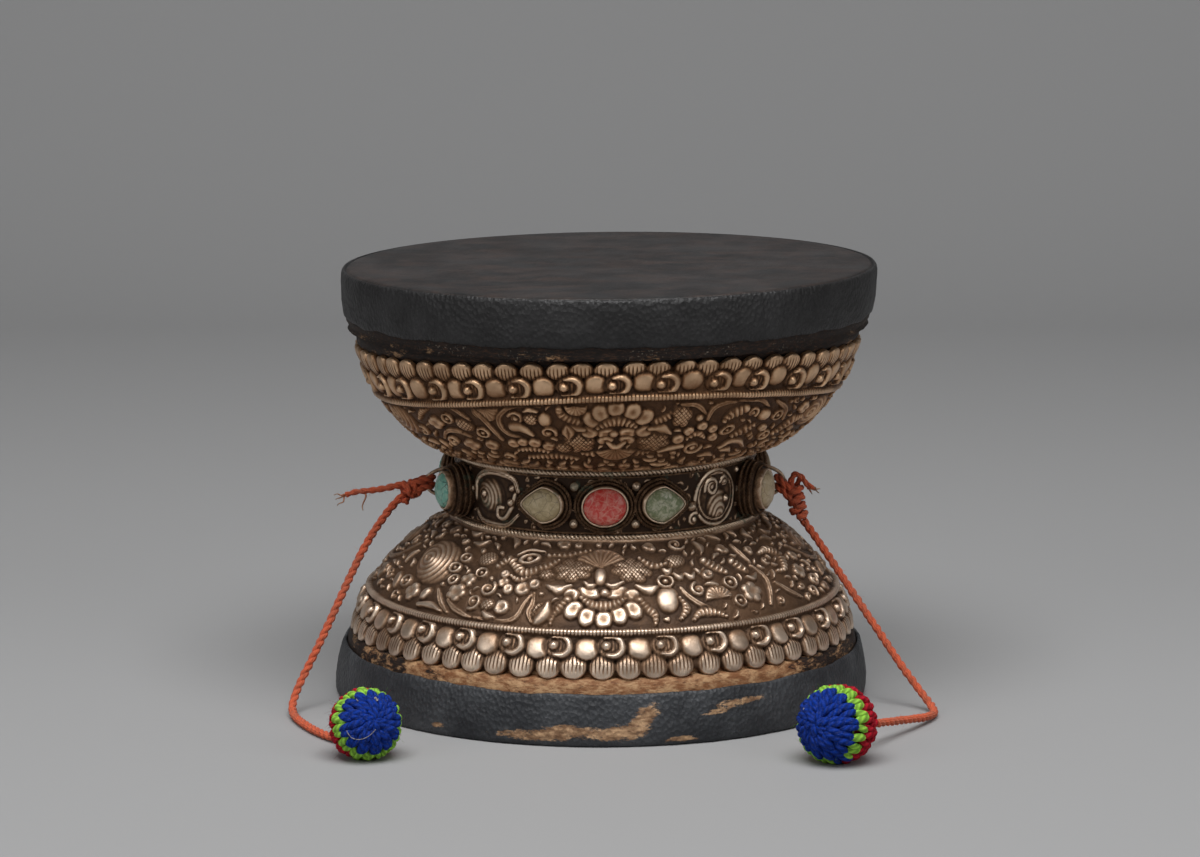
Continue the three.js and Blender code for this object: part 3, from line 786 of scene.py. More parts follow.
hatched.lines = ("hatch", lambda q, *_: np.clip((0.95 - q) / 0.2, 0, 1))


def leaned(x, y, wide, tall, lean):
    """A place in an oval's own directions, 1 at its edge; lean is in degrees."""
    turn = math.radians(lean)
    u = (x * math.cos(turn) + y * math.sin(turn)) * 2 / wide
    return u, (y * math.cos(turn) - x * math.sin(turn)) * 2 / tall


class Relief:
    """The heights of an embossed sheet, over rows down its profile and columns of azimuth.
    Places are (degrees from the origin, millimetres along the profile)."""

    def __init__(self, radius, height, spacing=SPACING):
        walked = run_length(np.stack([radius, height], 1))
        self.length = walked[-1]
        rows = round(self.length / spacing)
        self.run = np.linspace(0, self.length, rows)
        self.radius = np.interp(self.run, walked, radius)
        self.z = np.interp(self.run, walked, height)
        columns = round(2 * math.pi * self.radius.max() / spacing)
        self.azimuth = 360 * np.arange(columns) / columns - 180
        self.rise = np.zeros((rows, columns))
        self.lines = {"slots": np.zeros((rows, columns)), "hatch": np.zeros((rows, columns))}
        self.origin = 0.0
        self.bold = 1.0

    def at(self, across, s, az=0.0):
        """The place a number of millimetres round from an azimuth."""
        return (az + math.degrees(across / np.interp(s, self.run, self.radius)), s)

    def space(self):
        """Each cell's point on the plain sheet."""
        return upright(around_axis(self.azimuth, self.radius, self.z))

    def block(self, az, s, reach):
        """The part of the sheet within reach of a place: its cells, and their millimetres from it."""
        rows = np.flatnonzero(np.abs(self.run - s) < reach)
        least = max(self.radius[rows].min(), 1)
        turn = (self.azimuth - az - self.origin + 180) % 360 - 180
        columns = np.flatnonzero(np.abs(turn) < math.degrees(reach / least))
        across = np.radians(turn[columns])[None] * self.radius[rows][:, None]
        return np.ix_(rows, columns), across, self.run[rows][:, None] - s + 0 * across

    def stamp(self, cell, shape, rise, apart, moat=0.35, lines=("", 0.0)):
        """Lays a raised shape over what is there and cuts a moat round it.
        apart is the distance outside the shape's edge, in millimetres; lines are cut into the shape."""
        for name, layer in self.lines.items():
            layer[cell] = np.where(apart < 0, lines[1] if lines[0] == name else 0.0, layer[cell])
        here = self.rise[cell]
        cut = np.exp(-(np.clip(apart, 0, None) / 0.35) ** 2)
        outside = np.where(here > 0.1, here * (1 - 0.8 * cut), here) - moat * cut * (here < 0.25)
        self.rise[cell] = np.where(apart < 0, np.maximum(rise * shape, here * 0.3), outside)

    def stroke(self, places, halves, rise=0.9, section=dome, moat=0.35):
        """A band along a line of places; halves are its half widths from end to end."""
        path = curve_through(places, 0.6) if len(places) > 2 else np.asarray(places, float)
        halves = np.asarray(halves) * self.bold
        middle = path.mean(0)
        radius_at = np.interp(path[:, 1], self.run, self.radius)
        local = np.stack([np.radians(path[:, 0] - middle[0]) * radius_at, path[:, 1] - middle[1]], 1)
        walked = run_length(local)
        half = np.interp(walked / max(walked[-1], 1e-6), np.linspace(0, 1, len(halves)), halves)
        reach = np.abs(local).max() + max(halves) + 1.2
        cell, x, y = self.block(*middle, reach)
        best = np.full(x.shape, 1e9)
        near_half, near_run = np.full(x.shape, halves[0]), np.zeros(x.shape)
        for i in range(len(local) - 1):
            (ax, ay), (dx, dy) = local[i], local[i + 1] - local[i]
            t = np.clip(((x - ax) * dx + (y - ay) * dy) / max(dx * dx + dy * dy, 1e-9), 0, 1)
            width = half[i] + t * (half[i + 1] - half[i])
            off = np.hypot(x - ax - t * dx, y - ay - t * dy) - width
            closer = off < best
            best = np.where(closer, off, best)
            near_half = np.where(closer, width, near_half)
            near_run = np.where(closer, walked[i] + t * (walked[i + 1] - walked[i]), near_run)
        q = np.clip(1 + best / np.maximum(near_half, 0.05), 0, 1)
        self.stamp(cell, section(q, near_run), rise, best, moat)

    def tendril(self, *places, half=0.62):
        self.stroke(places, [half * 0.5, half, half, half * 0.45], 0.72, double_line)

    def oval(self, place, wide, tall, lean=0.0, rise=0.9, section=dome, lobes=0, moat=0.35):
        """An oval pad, with scalloped lobes if there are any; lean is in degrees."""
        wide, tall = wide * self.bold, tall * self.bold
        cell, x, y = self.block(*place, max(wide, tall) / 2 + 1.2)
        u, v = leaned(x, y, wide, tall, lean)
        q = np.hypot(u, v)
        notch = np.abs(np.cos(lobes * np.arctan2(v, u) / 2)) ** 0.5 if lobes else 1.0
        edge = 0.74 + 0.26 * notch if lobes else 1.0
        share = np.clip(q / edge, 0, 1)
        shape = section(share, u, x, y)
        if lobes:
            shape = shape * (1 - 0.35 * (1 - notch) * np.clip(share * 1.6, 0, 1))
        name, depth = getattr(section, "lines", ("", None))
        lines = (name, depth(share, u, x, y) if depth else 0.0)
        self.stamp(cell, shape, rise, (q - edge) * min(wide, tall) / 2, moat, lines=lines)

    def ring(self, place, wide, tall, lean=0.0, rise=0.8, half=0.42, dot=0.0):
        cell, x, y = self.block(*place, max(wide, tall) / 2 + 1.6)
        off = np.abs(np.hypot(*leaned(x, y, wide, tall, lean)) - 1) * min(wide, tall) / 2
        self.stamp(cell, dome(np.clip(off / half, 0, 1)), rise, off - half)
        if dot:
            self.oval(place, 2 * dot, 2 * dot, rise=rise)

    def fan(self, place, radius, facing, spread, ribs, rise):
        """A ribbed shell opening round a hinge; facing 90 is away from the rim."""
        radius = radius * self.bold
        cell, x, y = self.block(*place, radius + 1.2)
        away = np.hypot(x, y)
        angle = (np.degrees(np.arctan2(y, x)) - facing + 180) % 360 - 180
        apart = np.maximum(away - radius, (np.abs(angle) - spread / 2) * math.pi / 180 * away)
        q = np.clip(away / radius, 0, 1)
        lip = np.clip(1 - q**6, 0, 1) ** 0.6 * (0.55 + 0.45 * q)
        cuts = 0.76 + 0.24 * np.cos(np.radians(angle) * ribs * 360 / spread)
        self.stamp(cell, lip * np.where(q < 0.86, cuts, 1.0), rise, apart)

    def curl(self, place, radius, turns, start, rise=0.8, half=0.45, bead=0.0):
        """A band that winds in to its middle, with a bead there; start is in degrees."""
        t = np.linspace(0, 1, max(8, int(abs(turns) * 14)))
        angle = np.radians(start) + 2 * math.pi * turns * t
        out = radius * (1 - 0.78 * t)
        middle = np.interp(place[1], self.run, self.radius)
        round_it = place[0] + np.degrees(out * np.cos(angle) / middle)
        places = np.stack([round_it, place[1] + out * np.sin(angle)], 1)
        self.stroke(places, [half, half * 0.9], rise)
        if bead:
            self.oval(place, 2 * bead, 2 * bead, rise=rise * 1.1)

    def conch(self, place, wide, tall, lean, ridges):
        """A pad of curved ridges drawn together at one end."""
        def section(q, _, x, y):
            u, v = leaned(x, y, wide, tall, lean)
            rings = np.hypot(u + 0.45, v * 0.9 + 0.2)
            return pillow(q) * (0.72 + 0.28 * np.cos(2 * math.pi * rings * ridges / 1.4))

        self.oval(place, wide, tall, lean, 1.0, section)

    def fill(self, dice, start, end, tries, rooms):
        """Little leaves, curls and lobed pads wherever the ground is still bare for one of the rooms."""
        for _ in range(tries):
            place = (dice.uniform(-180, 180), dice.uniform(start, end))
            room = dice.choice(rooms)
            cell, x, y = self.block(*place, room)
            if (self.rise[cell] * (np.hypot(x, y) < room)).max() > 0.12:
                continue
            way = dice.uniform(0, 360)
            kind = dice.integers(4)
            if kind == 0 and room > 1.5:
                self.curl(place, room * 0.62, dice.choice([-1.2, 1.2]), way, 0.75, 0.4, 0.45)
            elif kind == 1:
                self.oval(place, room * 1.35, room * 1.1, way, 0.8, dish, 3)
            else:
                turn = math.radians(way)
                reach = room * 0.72
                side = 0.35 * reach
                self.stroke([
                    self.at(reach * math.cos(turn), place[1] + reach * math.sin(turn) * 0.9, place[0]),
                    self.at(-side * math.sin(turn), place[1] + side * math.cos(turn), place[0]),
                    self.at(-reach * math.cos(turn), place[1] - reach * math.sin(turn) * 0.9, place[0]),
                ], [0.2, room * 0.36, 0.25], 0.75)

    def blurred(self, size):
        """The heights evened out over about size millimetres."""
        spacing = self.run[1] - self.run[0]
        reach = max(1, round(size / spacing / 2))
        smooth = self.rise
        for _ in range(2):
            columns = smooth.shape[1]
            total = np.cumsum(np.hstack([smooth[:, -reach - 1:], smooth, smooth[:, :reach]]), 1)
            smooth = (total[:, 2 * reach + 1:] - total[:, :columns]) / (2 * reach + 1)
            padded = np.pad(smooth, ((reach + 1, reach), (0, 0)), "edge")
            total = np.cumsum(padded, 0)
            smooth = (total[2 * reach + 1:] - total[:-2 * reach - 1]) / (2 * reach + 1)
        return smooth

    def skin(self, outward, edge=0.0):
        """The sheet's points and the heights there; edge draws the first rows in, by azimuth."""
        warp = np.clip(1 - self.run / 20, 0, 1)[:, None] * np.broadcast_to(edge, len(self.azimuth))[None]
        run = self.run[:, None] + warp
        spacing = self.run[1] - self.run[0]
        row = np.clip(run / spacing, 0, len(self.run) - 1.001)
        low = row.astype(int)
        share = row - low
        rise = (np.take_along_axis(self.rise, low, 0) * (1 - share)
                + np.take_along_axis(self.rise, low + 1, 0) * share)
        rise = rise - 0.9 * np.clip(1 - self.run / 0.35, 0, 1)[:, None] * (np.max(np.abs(edge)) > 0)
        dr, dz = np.gradient(self.radius, self.run), np.gradient(self.z, self.run)
        size = np.hypot(dr, dz)
        radius = np.interp(run, self.run, self.radius) + rise * (outward * dz / size)[:, None]
        z = np.interp(run, self.run, self.z) + rise * (outward * -dr / size)[:, None]
        return upright(np.stack([np.tile(self.azimuth, (len(self.run), 1)), radius, z], -1)), row


def lower_garden(sheet):
    """The lower bowl's flowers and scrolls over half its round."""
    at, stroke, tendril, oval = sheet.at, sheet.stroke, sheet.tendril, sheet.oval
    ring, curl, fan, conch = sheet.ring, sheet.curl, sheet.fan, sheet.conch
    # the lotus, its petals towards the rim
    for way in (-1, 1):
        oval(at(way * 6.8 - 0.3, 28.2), 8.6, 6.6, way * -14, 1.0, hatched, 7)
        oval(at(way * 3.6 - 0.1, 21.5), 5.2, 3.2, way * 8, 1.0, dish)
        stroke([at(way * 4.6, 24.6), at(way * 2.6 - 0.6, 23.4), at(way * 0.8 - 0.6, 24.4)], [0.3, 0.75, 0.3])
        leaf = [at(way * 7.6, 23.4), at(way * 10.4, 22.2), at(way * 13.6, 23.2)]
        stroke(leaf, [0.4, 1.3, 0.25], 0.9, pillow)
        oval(at(way * 7.1 - 0.4, 20.8), 3.3, 3.2, 0, 0.95, dish)
        stroke([at(way * 8.6, 19.4), at(way * 10.4, 17.2), at(way * 12.2, 15.6), at(way * 12.5, 12.6)],
               [1.0, 1.1, 0.9, 0.3], 0.8, FINE_RIBS)
    for across, s, lean in (
        (-7.0, 16.9, -42), (7.0, 16.9, 42), (-3.8, 15.2, -18), (3.6, 15.7, 20), (0.1, 14.4, 0),
    ):
        oval(at(across, s), 3.5, 4.5, lean, 1.0, dish)
    stroke([at(-5.2, 20.2), at(-3.0, 18.6), at(0, 18.2), at(3.0, 18.7), at(5.0, 20.0)],
           [0.5, 1.0, 1.3, 1.0, 0.5], 0.95, FINE_RIBS)
    oval(at(0.3, 21.7), 2.0, 2.0)
    oval(at(-0.8, 26.4), 2.6, 4.6, 0, 0.95, pillow)
    fan(at(-0.8, 28.8), 5.4, 90, 130, 9, 0.85)
    # to its left
    oval(at(-15.2, 16.2), 5.4, 3.6, 30, 1.0, hatched)
    stroke([(-16, 13.4), (-14.6, 15.6), (-14, 18.4)], [1.1, 1.5, 0.6], 1.0, dome)
    tendril((-18.5, 21), (-18, 18), (-18.6, 15.6), (-17.4, 13.3))
    tendril((-33.5, 13.2), (-28, 12.9), (-24, 12.9), (-21.4, 14.4), (-20.2, 18), (-19, 20.4))
    oval((-26, 16.4), 3.5, 3.4, 0, 0.95, dish)
    oval((-30, 16.6), 3.4, 2.8, 20, 0.9, hatched)
    stroke([(-30.5, 14.6), (-29, 13.8), (-27, 13.6)], [0.4, 0.9, 0.3])
    for degrees, s, wide in (
        (-28, 23, 2.5), (-26, 21.4, 2.4), (-22, 21.9, 3.4), (-19, 23.4, 2.6), (-28.6, 25.4, 2.0),
    ):
        oval((degrees, s), wide, wide, 0, 0.9, dish)
    stroke([(-26.6, 25.2), (-24, 24.4), (-21.2, 25.6)], [0.4, 0.95, 0.4], 0.9, FINE_RIBS)
    stroke([(-32.4, 27.6), (-30, 30), (-26.6, 28.6), (-23.6, 26.6), (-18, 28.4), (-14, 31)],
           [0.6, 1.2, 1.3, 1.0, 1.2, 0.4], 0.95, RIBS)
    ring((-23.4, 30.8), 4.4, 2.6, 20, dot=0.7)
    stroke([(-28, 31.6), (-24.4, 33.6), (-19.4, 33.4)], [0.3, 0.6, 0.3], 0.7)
    oval((-16.5, 26.4), 3.6, 2.9, 0, 0.9, hatched, 5)
    curl((-34.4, 17), 2.0, 1.3, 250, bead=0.6)
    curl((-31.8, 20.8), 2.1, -1.3, 60, bead=0.6)
    oval((-37.5, 29.4), 4.4, 3.9, 10, 0.95, hatched)
    ring((-36.4, 25), 2.9, 2.6, 0, dot=0.5)
    oval((-39.6, 22.4), 3.9, 3.6, 15, 0.9, dish, 5)
    oval((-41, 18.6), 5.0, 4.6, 0, 0.95, dish, 5)
    ring((-44.6, 22), 2.6, 2.4, 0, dot=0.5)
    tendril((-47.6, 18.6), (-44.2, 15.2), (-41, 13.3))
    tendril((-42.6, 16.4), (-39, 14.4), (-33.6, 12.9))
    conch((-56, 25.6), 14.5, 10.5, -20, 6)
    ring((-46.8, 25.2), 3.2, 2.6, 0, dot=0.5)
    ring((-45.6, 28.6), 2.8, 2.4, 0, dot=0.5)
    ring((-62.4, 18.2), 3.8, 3.0, 0, dot=0.7)
    oval((-67.4, 17.6), 2.6, 4.4, 30, 0.9, pillow)
    oval((-56.4, 16.2), 4.4, 4.2, 0, 0.95, dish, 4)
    oval((-51, 16.6), 2.4, 3.4, -20, 0.9, pillow)
    stroke([(-51.4, 13.6), (-47.4, 14.2), (-43, 13.2)], [0.6, 0.9, 0.3])
    stroke([(-17.6, 32.4), (-11, 33), (-4.6, 34.8)], [0.5, 0.75, 0.4], 0.8, ribbed(1.25))
    # to its right
    oval((16.8, 19.4), 4.8, 6.2, -12, 1.05, pillow)
    stroke([(20, 19.6), (21.2, 16.6), (19.2, 14.2)], [0.4, 1.0, 0.5], 0.95, FINE_RIBS)
    ring((17.2, 24.4), 3.6, 3.2, 0, dot=0.7)
    for degrees, s in ((18.6, 27.4), (21.6, 25.6), (25, 25.4), (28.6, 26.4)):
        stroke([(degrees - 1.5, s + 0.8), (degrees, s - 0.5), (degrees + 1.5, s + 0.8)], [0.3, 0.8, 0.3])
    oval((22, 30.2), 4.6, 3.4, 10, 0.95, hatched)
    stroke([(11, 31.6), (14.8, 29.2), (19, 29.6)], [0.5, 1.1, 0.4], 0.9, RIBS)
    tendril((21, 22.4), (22.6, 19.6), (26, 16.8), (31, 14.6))
    curl((25.8, 21.4), 1.9, 1.2, 100, bead=0.5)
    fan((31, 18.4), 3.1, 90, 190, 9, 1.0)
    oval((30.4, 25.2), 3.0, 2.4, 30, 0.9, dish)
    stroke([(28.6, 22.6), (30.4, 22.6), (32, 22)], [0.3, 0.7, 0.3])
    stroke([(31.6, 29.4), (34, 27.4), (36.4, 25.4)], [1.0, 1.4, 0.8], 1.0, RIBS)
    stroke([(41, 28), (42.6, 26.2), (44, 24.6)], [1.0, 1.3, 0.8], 1.0, RIBS)
    ring((36.2, 22.2), 3.4, 3.0, 0, dot=0.7)
    ring((36.8, 17), 3.0, 2.8, 0, dot=0.6)
    oval((41.6, 18.8), 5.2, 5.0, 0, 1.0, dish, 5)
    stroke([(42.6, 23), (44.6, 22.2), (46.4, 23.4)], [0.3, 0.8, 0.3])
    stroke([(22.4, 13.6), (24.6, 15.2), (28.6, 14.8), (31.4, 13.4)], [0.4, 1.1, 0.9, 0.3], 0.9, FINE_RIBS)
    tendril((46.8, 26), (49, 22), (48.2, 18.6), (46, 14.6))
    tendril((51.6, 20), (55, 16.6), (58.6, 14.2))
    tendril((45.4, 33), (46.2, 29.6), (47.4, 26.6))
    stroke([(54, 28.6), (59, 29), (62.6, 26.4), (59.4, 22.6), (55.6, 22.6)],
           [0.5, 1.2, 1.3, 1.0, 0.4], 0.95, RIBS)
    oval((65, 20.6), 4.2, 3.8, 0, 0.95, dish, 4)
    ring((69.6, 17), 3.2, 2.8, 0, dot=0.6)
    # where the halves meet
    tendril((72, 28), (80, 22), (90, 20), (100, 23), (106, 28))
    conch((88, 27.5), 9, 7, 25, 4)
    fan((82, 16.4), 3.0, 90, 190, 9, 1.0)
    oval((97, 17), 5, 4.2, 0, 0.95, dish, 5)


def upper_garden(sheet):
    """The upper bowl's flowers and scrolls over half its round."""
    stroke, tendril, oval = sheet.stroke, sheet.tendril, sheet.oval
    ring, curl, fan, conch = sheet.ring, sheet.curl, sheet.fan, sheet.conch

    def at(across, s):
        return sheet.at(across, s, 2.4)

    for way in (-1, 1):
        oval(at(way * 8.7, 23.1), 7.0, 6.4, way * 14, 1.0, hatched, 6)
        oval(at(way * 2.7, 19.4), 4.2, 3.0, way * -10, 1.0, dish)
        oval(at(way * 2.5, 21.8), 3.4, 2.2, way * 14, 0.9, dish)
        oval(at(way * 6.3, 19.2), 3.3, 3.2, 0, 0.95, dish)
        stroke([at(way * 7.6, 18.4), at(way * 10, 18.2), at(way * 12.8, 20.2)], [0.5, 1.3, 0.25], 0.9, pillow)
        stroke([at(way * 14, 11.2), at(way * 13.4, 13.6), at(way * 11.4, 15.2), at(way * 8.6, 16.4)],
               [0.4, 1.0, 1.1, 0.9], 0.85, FINE_RIBS)
        leaf = [at(way * 3.4, 26.2), at(way * 5.6, 27.4), at(way * 8, 27)]
        stroke(leaf, [0.5, 1.0, 0.3], 0.8, RIBS)
    for across, s, lean in (
        (-5.8, 15.4, -38), (6.2, 14.8, 38), (-3.9, 13.4, -18), (3.4, 13.1, 20), (-0.4, 11.9, 0),
    ):
        oval(at(across, s), 3.5, 4.4, lean, 1.0, dish)
    stroke([at(-4.4, 17.8), at(-2.2, 16.4), at(0, 15.9), at(2.2, 16.4), at(4.4, 17.6)],
           [0.5, 1.1, 1.4, 1.1, 0.5], 0.95, FINE_RIBS)
    oval(at(-0.6, 19.8), 1.9, 1.9)
    stroke([at(-2, 22.6), at(0, 24.6), at(2, 22.6)], [0.4, 1.0, 0.4], 0.9)
    fan(at(0, 25), 4.0, 90, 150, 9, 0.85)
    # to its left
    fan((-7.2, 11.6), 2.3, 90, 190, 7, 0.95)
    fan((-30, 13.2), 3.3, 90, 190, 9, 1.0)
    stroke([(-9.6, 17.6), (-9.4, 19.4), (-9.4, 21.2)], [0.5, 1.4, 0.4], 0.9, double_line)
    tendril((-15.6, 12), (-22, 12.2), (-26, 15), (-26.6, 18), (-25, 20.6), (-22, 21.6))
    curl((-22, 15.6), 1.9, 1.3, 200, bead=0.6)
    oval((-18, 15.6), 3.6, 3.0, 0, 0.95, hatched)
    oval((-14.8, 15.6), 2.8, 3.8, 0, 0.95, pillow)
    stroke([(-19.6, 13.4), (-18, 12.8), (-16.4, 13.4)], [0.3, 0.8, 0.3])
    stroke([(-23, 18.2), (-21, 18.4), (-18.4, 20.4)], [1.3, 1.1, 0.4], 0.95, dome)
    curl((-14.4, 19.6), 1.9, -1.1, 20, bead=0.55)
    tendril((-33.6, 13.2), (-30.4, 17), (-27.4, 23))
    tendril((-43, 13.6), (-38.6, 14.4), (-35, 17.4))
    ring((-32.4, 20.8), 3.2, 2.6, 0, dot=0.6)
    oval((-37.4, 19), 4.8, 3.2, 20, 0.95, hatched)
    ring((-42.4, 17.6), 3.0, 2.6, 0, dot=0.6)
    oval((-47.6, 19.6), 4.6, 3.6, 0, 0.95, dish, 4)
    stroke([(-46, 14.4), (-50.4, 16), (-54.6, 19.6)], [0.5, 1.0, 0.5], 0.85, FINE_RIBS)
    ring((-56.6, 23.6), 3.2, 2.8, 0, dot=0.6)
    tendril((-49, 25.4), (-45.6, 22.4), (-41.6, 21.6), (-37.4, 23))
    curl((-45, 25.6), 1.9, 1.2, 120, bead=0.5)
    oval((-38.8, 26), 4.4, 3.6, 0, 0.95, dish, 4)
    for degrees, s, wide in (
        (-31.6, 25.2, 3.2), (-24.6, 23.8, 2.6), (-21.8, 23.2, 2.4), (-18.6, 23.4, 2.8), (-15, 24.4, 2.8),
    ):
        oval((degrees, s), wide, wide * 0.9, 0, 0.9, dish)
    oval((-11.2, 25), 3.4, 3.0, 0, 0.9, hatched)
    stroke([(-24, 26.4), (-19.4, 25.8), (-15, 26.8)], [0.4, 0.9, 0.4], 0.9, FINE_RIBS)
    stroke([(-22, 29.4), (-14, 28.6), (-8, 29.6)], [0.4, 1.1, 0.4], 0.85, RIBS)
    conch((-65, 21), 11, 9, 20, 5)
    # to its right
    oval((17.8, 15), 4.4, 6.4, -8, 1.05, hatched, 5)
    tendril((17, 11.6), (21, 12.2), (24, 15.2))
    tendril((24.6, 17), (25.4, 13.6), (28.4, 12.2), (31.6, 12.4))
    tendril((32, 12), (38, 12.4), (42, 15))
    tendril((44, 13.6), (48.4, 16.4), (50, 20))
    oval((22.4, 16), 1.8, 1.8, 0, 0.9)
    stroke([(29.6, 17.6), (31, 16), (34.4, 14.6)], [0.6, 1.5, 1.2], 1.0, RIBS)
    curl((37.2, 16), 1.6, -1.1, 40, bead=0.5)
    oval((41.4, 17.2), 3.6, 3.0, 20, 0.95, pillow)
    ring((46.4, 18), 2.8, 2.6, 0, dot=0.6)
    for degrees, s, wide in (
        (23.8, 18.6, 2.3), (27, 19.8, 2.1), (20.6, 20, 2.3), (18.4, 22.4, 2.6), (28, 22.6, 2.3),
    ):
        oval((degrees, s), wide, wide, 0, 0.9, dish)
    stroke([(20.8, 22.6), (23.2, 21), (25.6, 22.6)], [0.4, 0.95, 0.4], 0.9, FINE_RIBS)
    curl((23.4, 26), 2.3, 1.4, 0, bead=0.7)
    stroke([(14, 26.6), (17, 25.6), (20.4, 25.2)], [0.4, 0.9, 0.4], 0.9)
    ring((31.4, 20.6), 3.2, 2.2, -30, dot=0.5)
    stroke([(34, 23), (36.8, 21.6), (40, 19.8)], [0.5, 1.4, 0.4], 0.95, RIBS)
    oval((43.4, 21.6), 2.4, 2.0, 0, 0.9, dish)
    ring((46.2, 24.6), 3.0, 2.8, 0, dot=0.6)
    stroke([(32, 27), (34.4, 25), (38, 25.6), (41, 28)], [0.4, 0.8, 0.8, 0.4], 0.85)
    stroke([(50, 24.6), (55, 21.4), (60.4, 20.4)], [0.6, 1.8, 0.6], 1.0, RIBS)
    conch((66, 20), 10, 8, -20, 5)
    oval((57, 17.4), 4.0, 3.2, 0, 0.95, dish, 4)
    # where the halves meet
    tendril((74, 29), (82, 22.6), (92, 20.6), (102, 22.6), (108, 29))
    oval((91, 25.4), 6, 4.6, 0, 1.0, hatched, 6)
    fan((79, 18.4), 2.8, 90, 190, 9, 1.0)
    fan((103, 18.4), 2.8, 90, 190, 9, 1.0)


def petal_rows(sheet, count, row_line, rope_top, dice, dip):
    """The outer row of ribbed petals and the inner one of curls with a bead, turn about with plain ones."""
    pitch = 360 / count
    step = math.radians(pitch) * sheet.radius[0]

    def petal(place, wide, tall, lean, rise, ribbed_root=False):
        """A scale that rises from its root to its rounded tip, and is ribbed at the root."""
        def section(q, u, x, y):
            tipward = np.clip(0.5 - 0.62 * leaned(x, y, wide, tall, lean)[1], 0, 1)
            return np.clip(1 - q**3.4, 0, 1) ** 0.6 * (0.38 + 0.62 * tipward**0.8)

        def depth(q, u, x, y):
            return np.clip((y / tall + 0.25) / 0.15, 0, 1) * np.clip((0.9 - np.abs(u)) / 0.2, 0, 1)

        section.lines = ("slots" if ribbed_root else "", depth)
        sheet.oval(place, wide, tall, lean, rise, section, moat=0.6)

    tips = []
    for n in range(count):
        az = -180 + pitch * (n + dice.uniform(-0.08, 0.08))
        tips.append(az)
        wide = step * dice.uniform(0.93, 1.04)
        place = (az, row_line * 0.54 + dip(az, 0.62) + dice.uniform(-0.2, 0.2))
        tall = row_line * 1.24 + dip(az, 0.25)
        petal(place, wide, tall, dice.uniform(-8, 8), dice.uniform(1.2, 1.5), True)
    middle = (row_line + rope_top) / 2
    tall = rope_top - row_line
    for n in range(count // 2):
        az = -180 + 2 * pitch * (n + dice.uniform(-0.05, 0.05)) + pitch * 0.35

        def near(x, y, az=az):
            return sheet.at(x, middle + dip(az, 0.88) + y * (tall + dip(az, 0.2)) / 4.4, az)

        petal(near(step * 1.06, -0.5), step * 0.98, tall * 1.3 + dip(az, 0.2), dice.uniform(-14, 4), 1.2)
        petal(near(0.3, -0.3), step * 1.14, tall * 1.3, -18, 0.75, True)
        winding = [near(-1.4, 2.1), near(0.8, 2.3), near(2.4, 1.2), near(2.7, -0.9), near(1.1, -2.2)]
        sheet.stroke([*winding, near(-0.8, -2.0)], [0.4, 0.66, 0.8, 0.9, 0.8, 0.4], 1.25, moat=0.1)
        sheet.oval(near(-1.0, 0.1), 2.4, 2.4, 0, 1.5, moat=0.45)
    return np.array(tips)


def clad(bowl, count, row_line, rope_top, rope_foot, seed, garden, sag):
    """A bowl's sheet. Its rope hangs sag millimetres lower at the sides than in front and behind,
    and its rim RIM_SHARE of that."""
    def dip(az, share=1.0):
        return sag * share * np.sin(np.radians(az - LOPSIDED)) ** 2

    above = bowl["rim_z"] > bowl["waist_z"]
    z = np.linspace(bowl["rim_z"], bowl["waist_z"], 1200)
    sheet = Relief(bowl_radius(bowl, z) - GROUND, z)
    dice = np.random.default_rng(seed)
    sheet.bold = 1.22
    for sheet.origin in (0, 180):
        garden(sheet)
    sheet.origin, sheet.bold = 0, 1.0
    for tries, rooms in ((2500, (3.4, 2.9)), (3000, (2.3, 1.9)), (5000, (1.4, 1.1))):
        sheet.fill(dice, rope_foot + 1.2, sheet.length - 3.2, tries, rooms)
    tips = petal_rows(sheet, count, row_line, rope_top, dice, dip)
    # the rope
    low = dip(sheet.azimuth)[None]
    middle, half = (rope_top + rope_foot) / 2 + low, (rope_foot - rope_top) / 2 * 0.8
    off = sheet.run[:, None] - middle
    q = np.clip(np.abs(off) / half, 0, 1)
    sheet.rise = np.where(q < 1, 1.15 * np.sqrt(1 - q * q), sheet.rise)
    sheet.lines["slots"] = np.where(q < 1, 1.0, sheet.lines["slots"])
    beside = np.exp(-((np.clip(np.abs(off) - half, 0, None) / 0.32) ** 2)) * (q >= 1)
    sheet.rise = sheet.rise * (1 - 0.85 * beside) - 0.3 * beside
    # the last wire at the waist
    foot = np.abs(sheet.run - (sheet.length - 2.2))[:, None]
    wire = 0.6 * np.sqrt(np.clip(1 - (foot / 0.7) ** 2, 0, 1))
    sheet.rise = np.where(foot < 0.7, wire, sheet.rise)
    # handwork: nothing is quite even
    space = sheet.space()
    fine, wide = 0.6 * sheet.rise + 0.4 * sheet.blurred(0.3), sheet.blurred(1.8)
    crest = np.clip(fine, 0, 1)
    # How far each place stands above the heights round it: partly the real rubbing of raised work, partly a
    # painted highlight on the sharpest crests and painted shade in the recesses.
    wear = np.clip(0.5 + 0.75 * (fine - wide), 0, 1)
    sheet.rise = fine + 0.03 * ripple(space, 2.5, seed + 1, 12) + 0.15 * ripple(space, 16, seed + 2, 12)
    nearest = np.abs((sheet.azimuth[:, None] - tips[None] + 180) % 360 - 180).min(1)
    share = nearest / (180 / count)
    edge = 0.1 + 1.8 * np.clip(share, 0, 1) ** 2.2 + dip(sheet.azimuth, RIM_SHARE)
    order = -1 if above else 1
    grid, row = sheet.skin(order, edge)
    low = row.astype(int)
    marks = {"crest": crest, "wear": wear, **sheet.lines}
    marks = {name: np.take_along_axis(mark, low, 0)[::order].ravel() for name, mark in marks.items()}
    # Painted shade and reflection: a darker, warmer tint, strong on the upper sheet that faces down to the
    # floor and slight on the lower.
    stock = Stock("golden", *marks)
    stock.sheet(settled(grid[::order]), golden=0.85 if above else 0.25, **marks)
    return stock


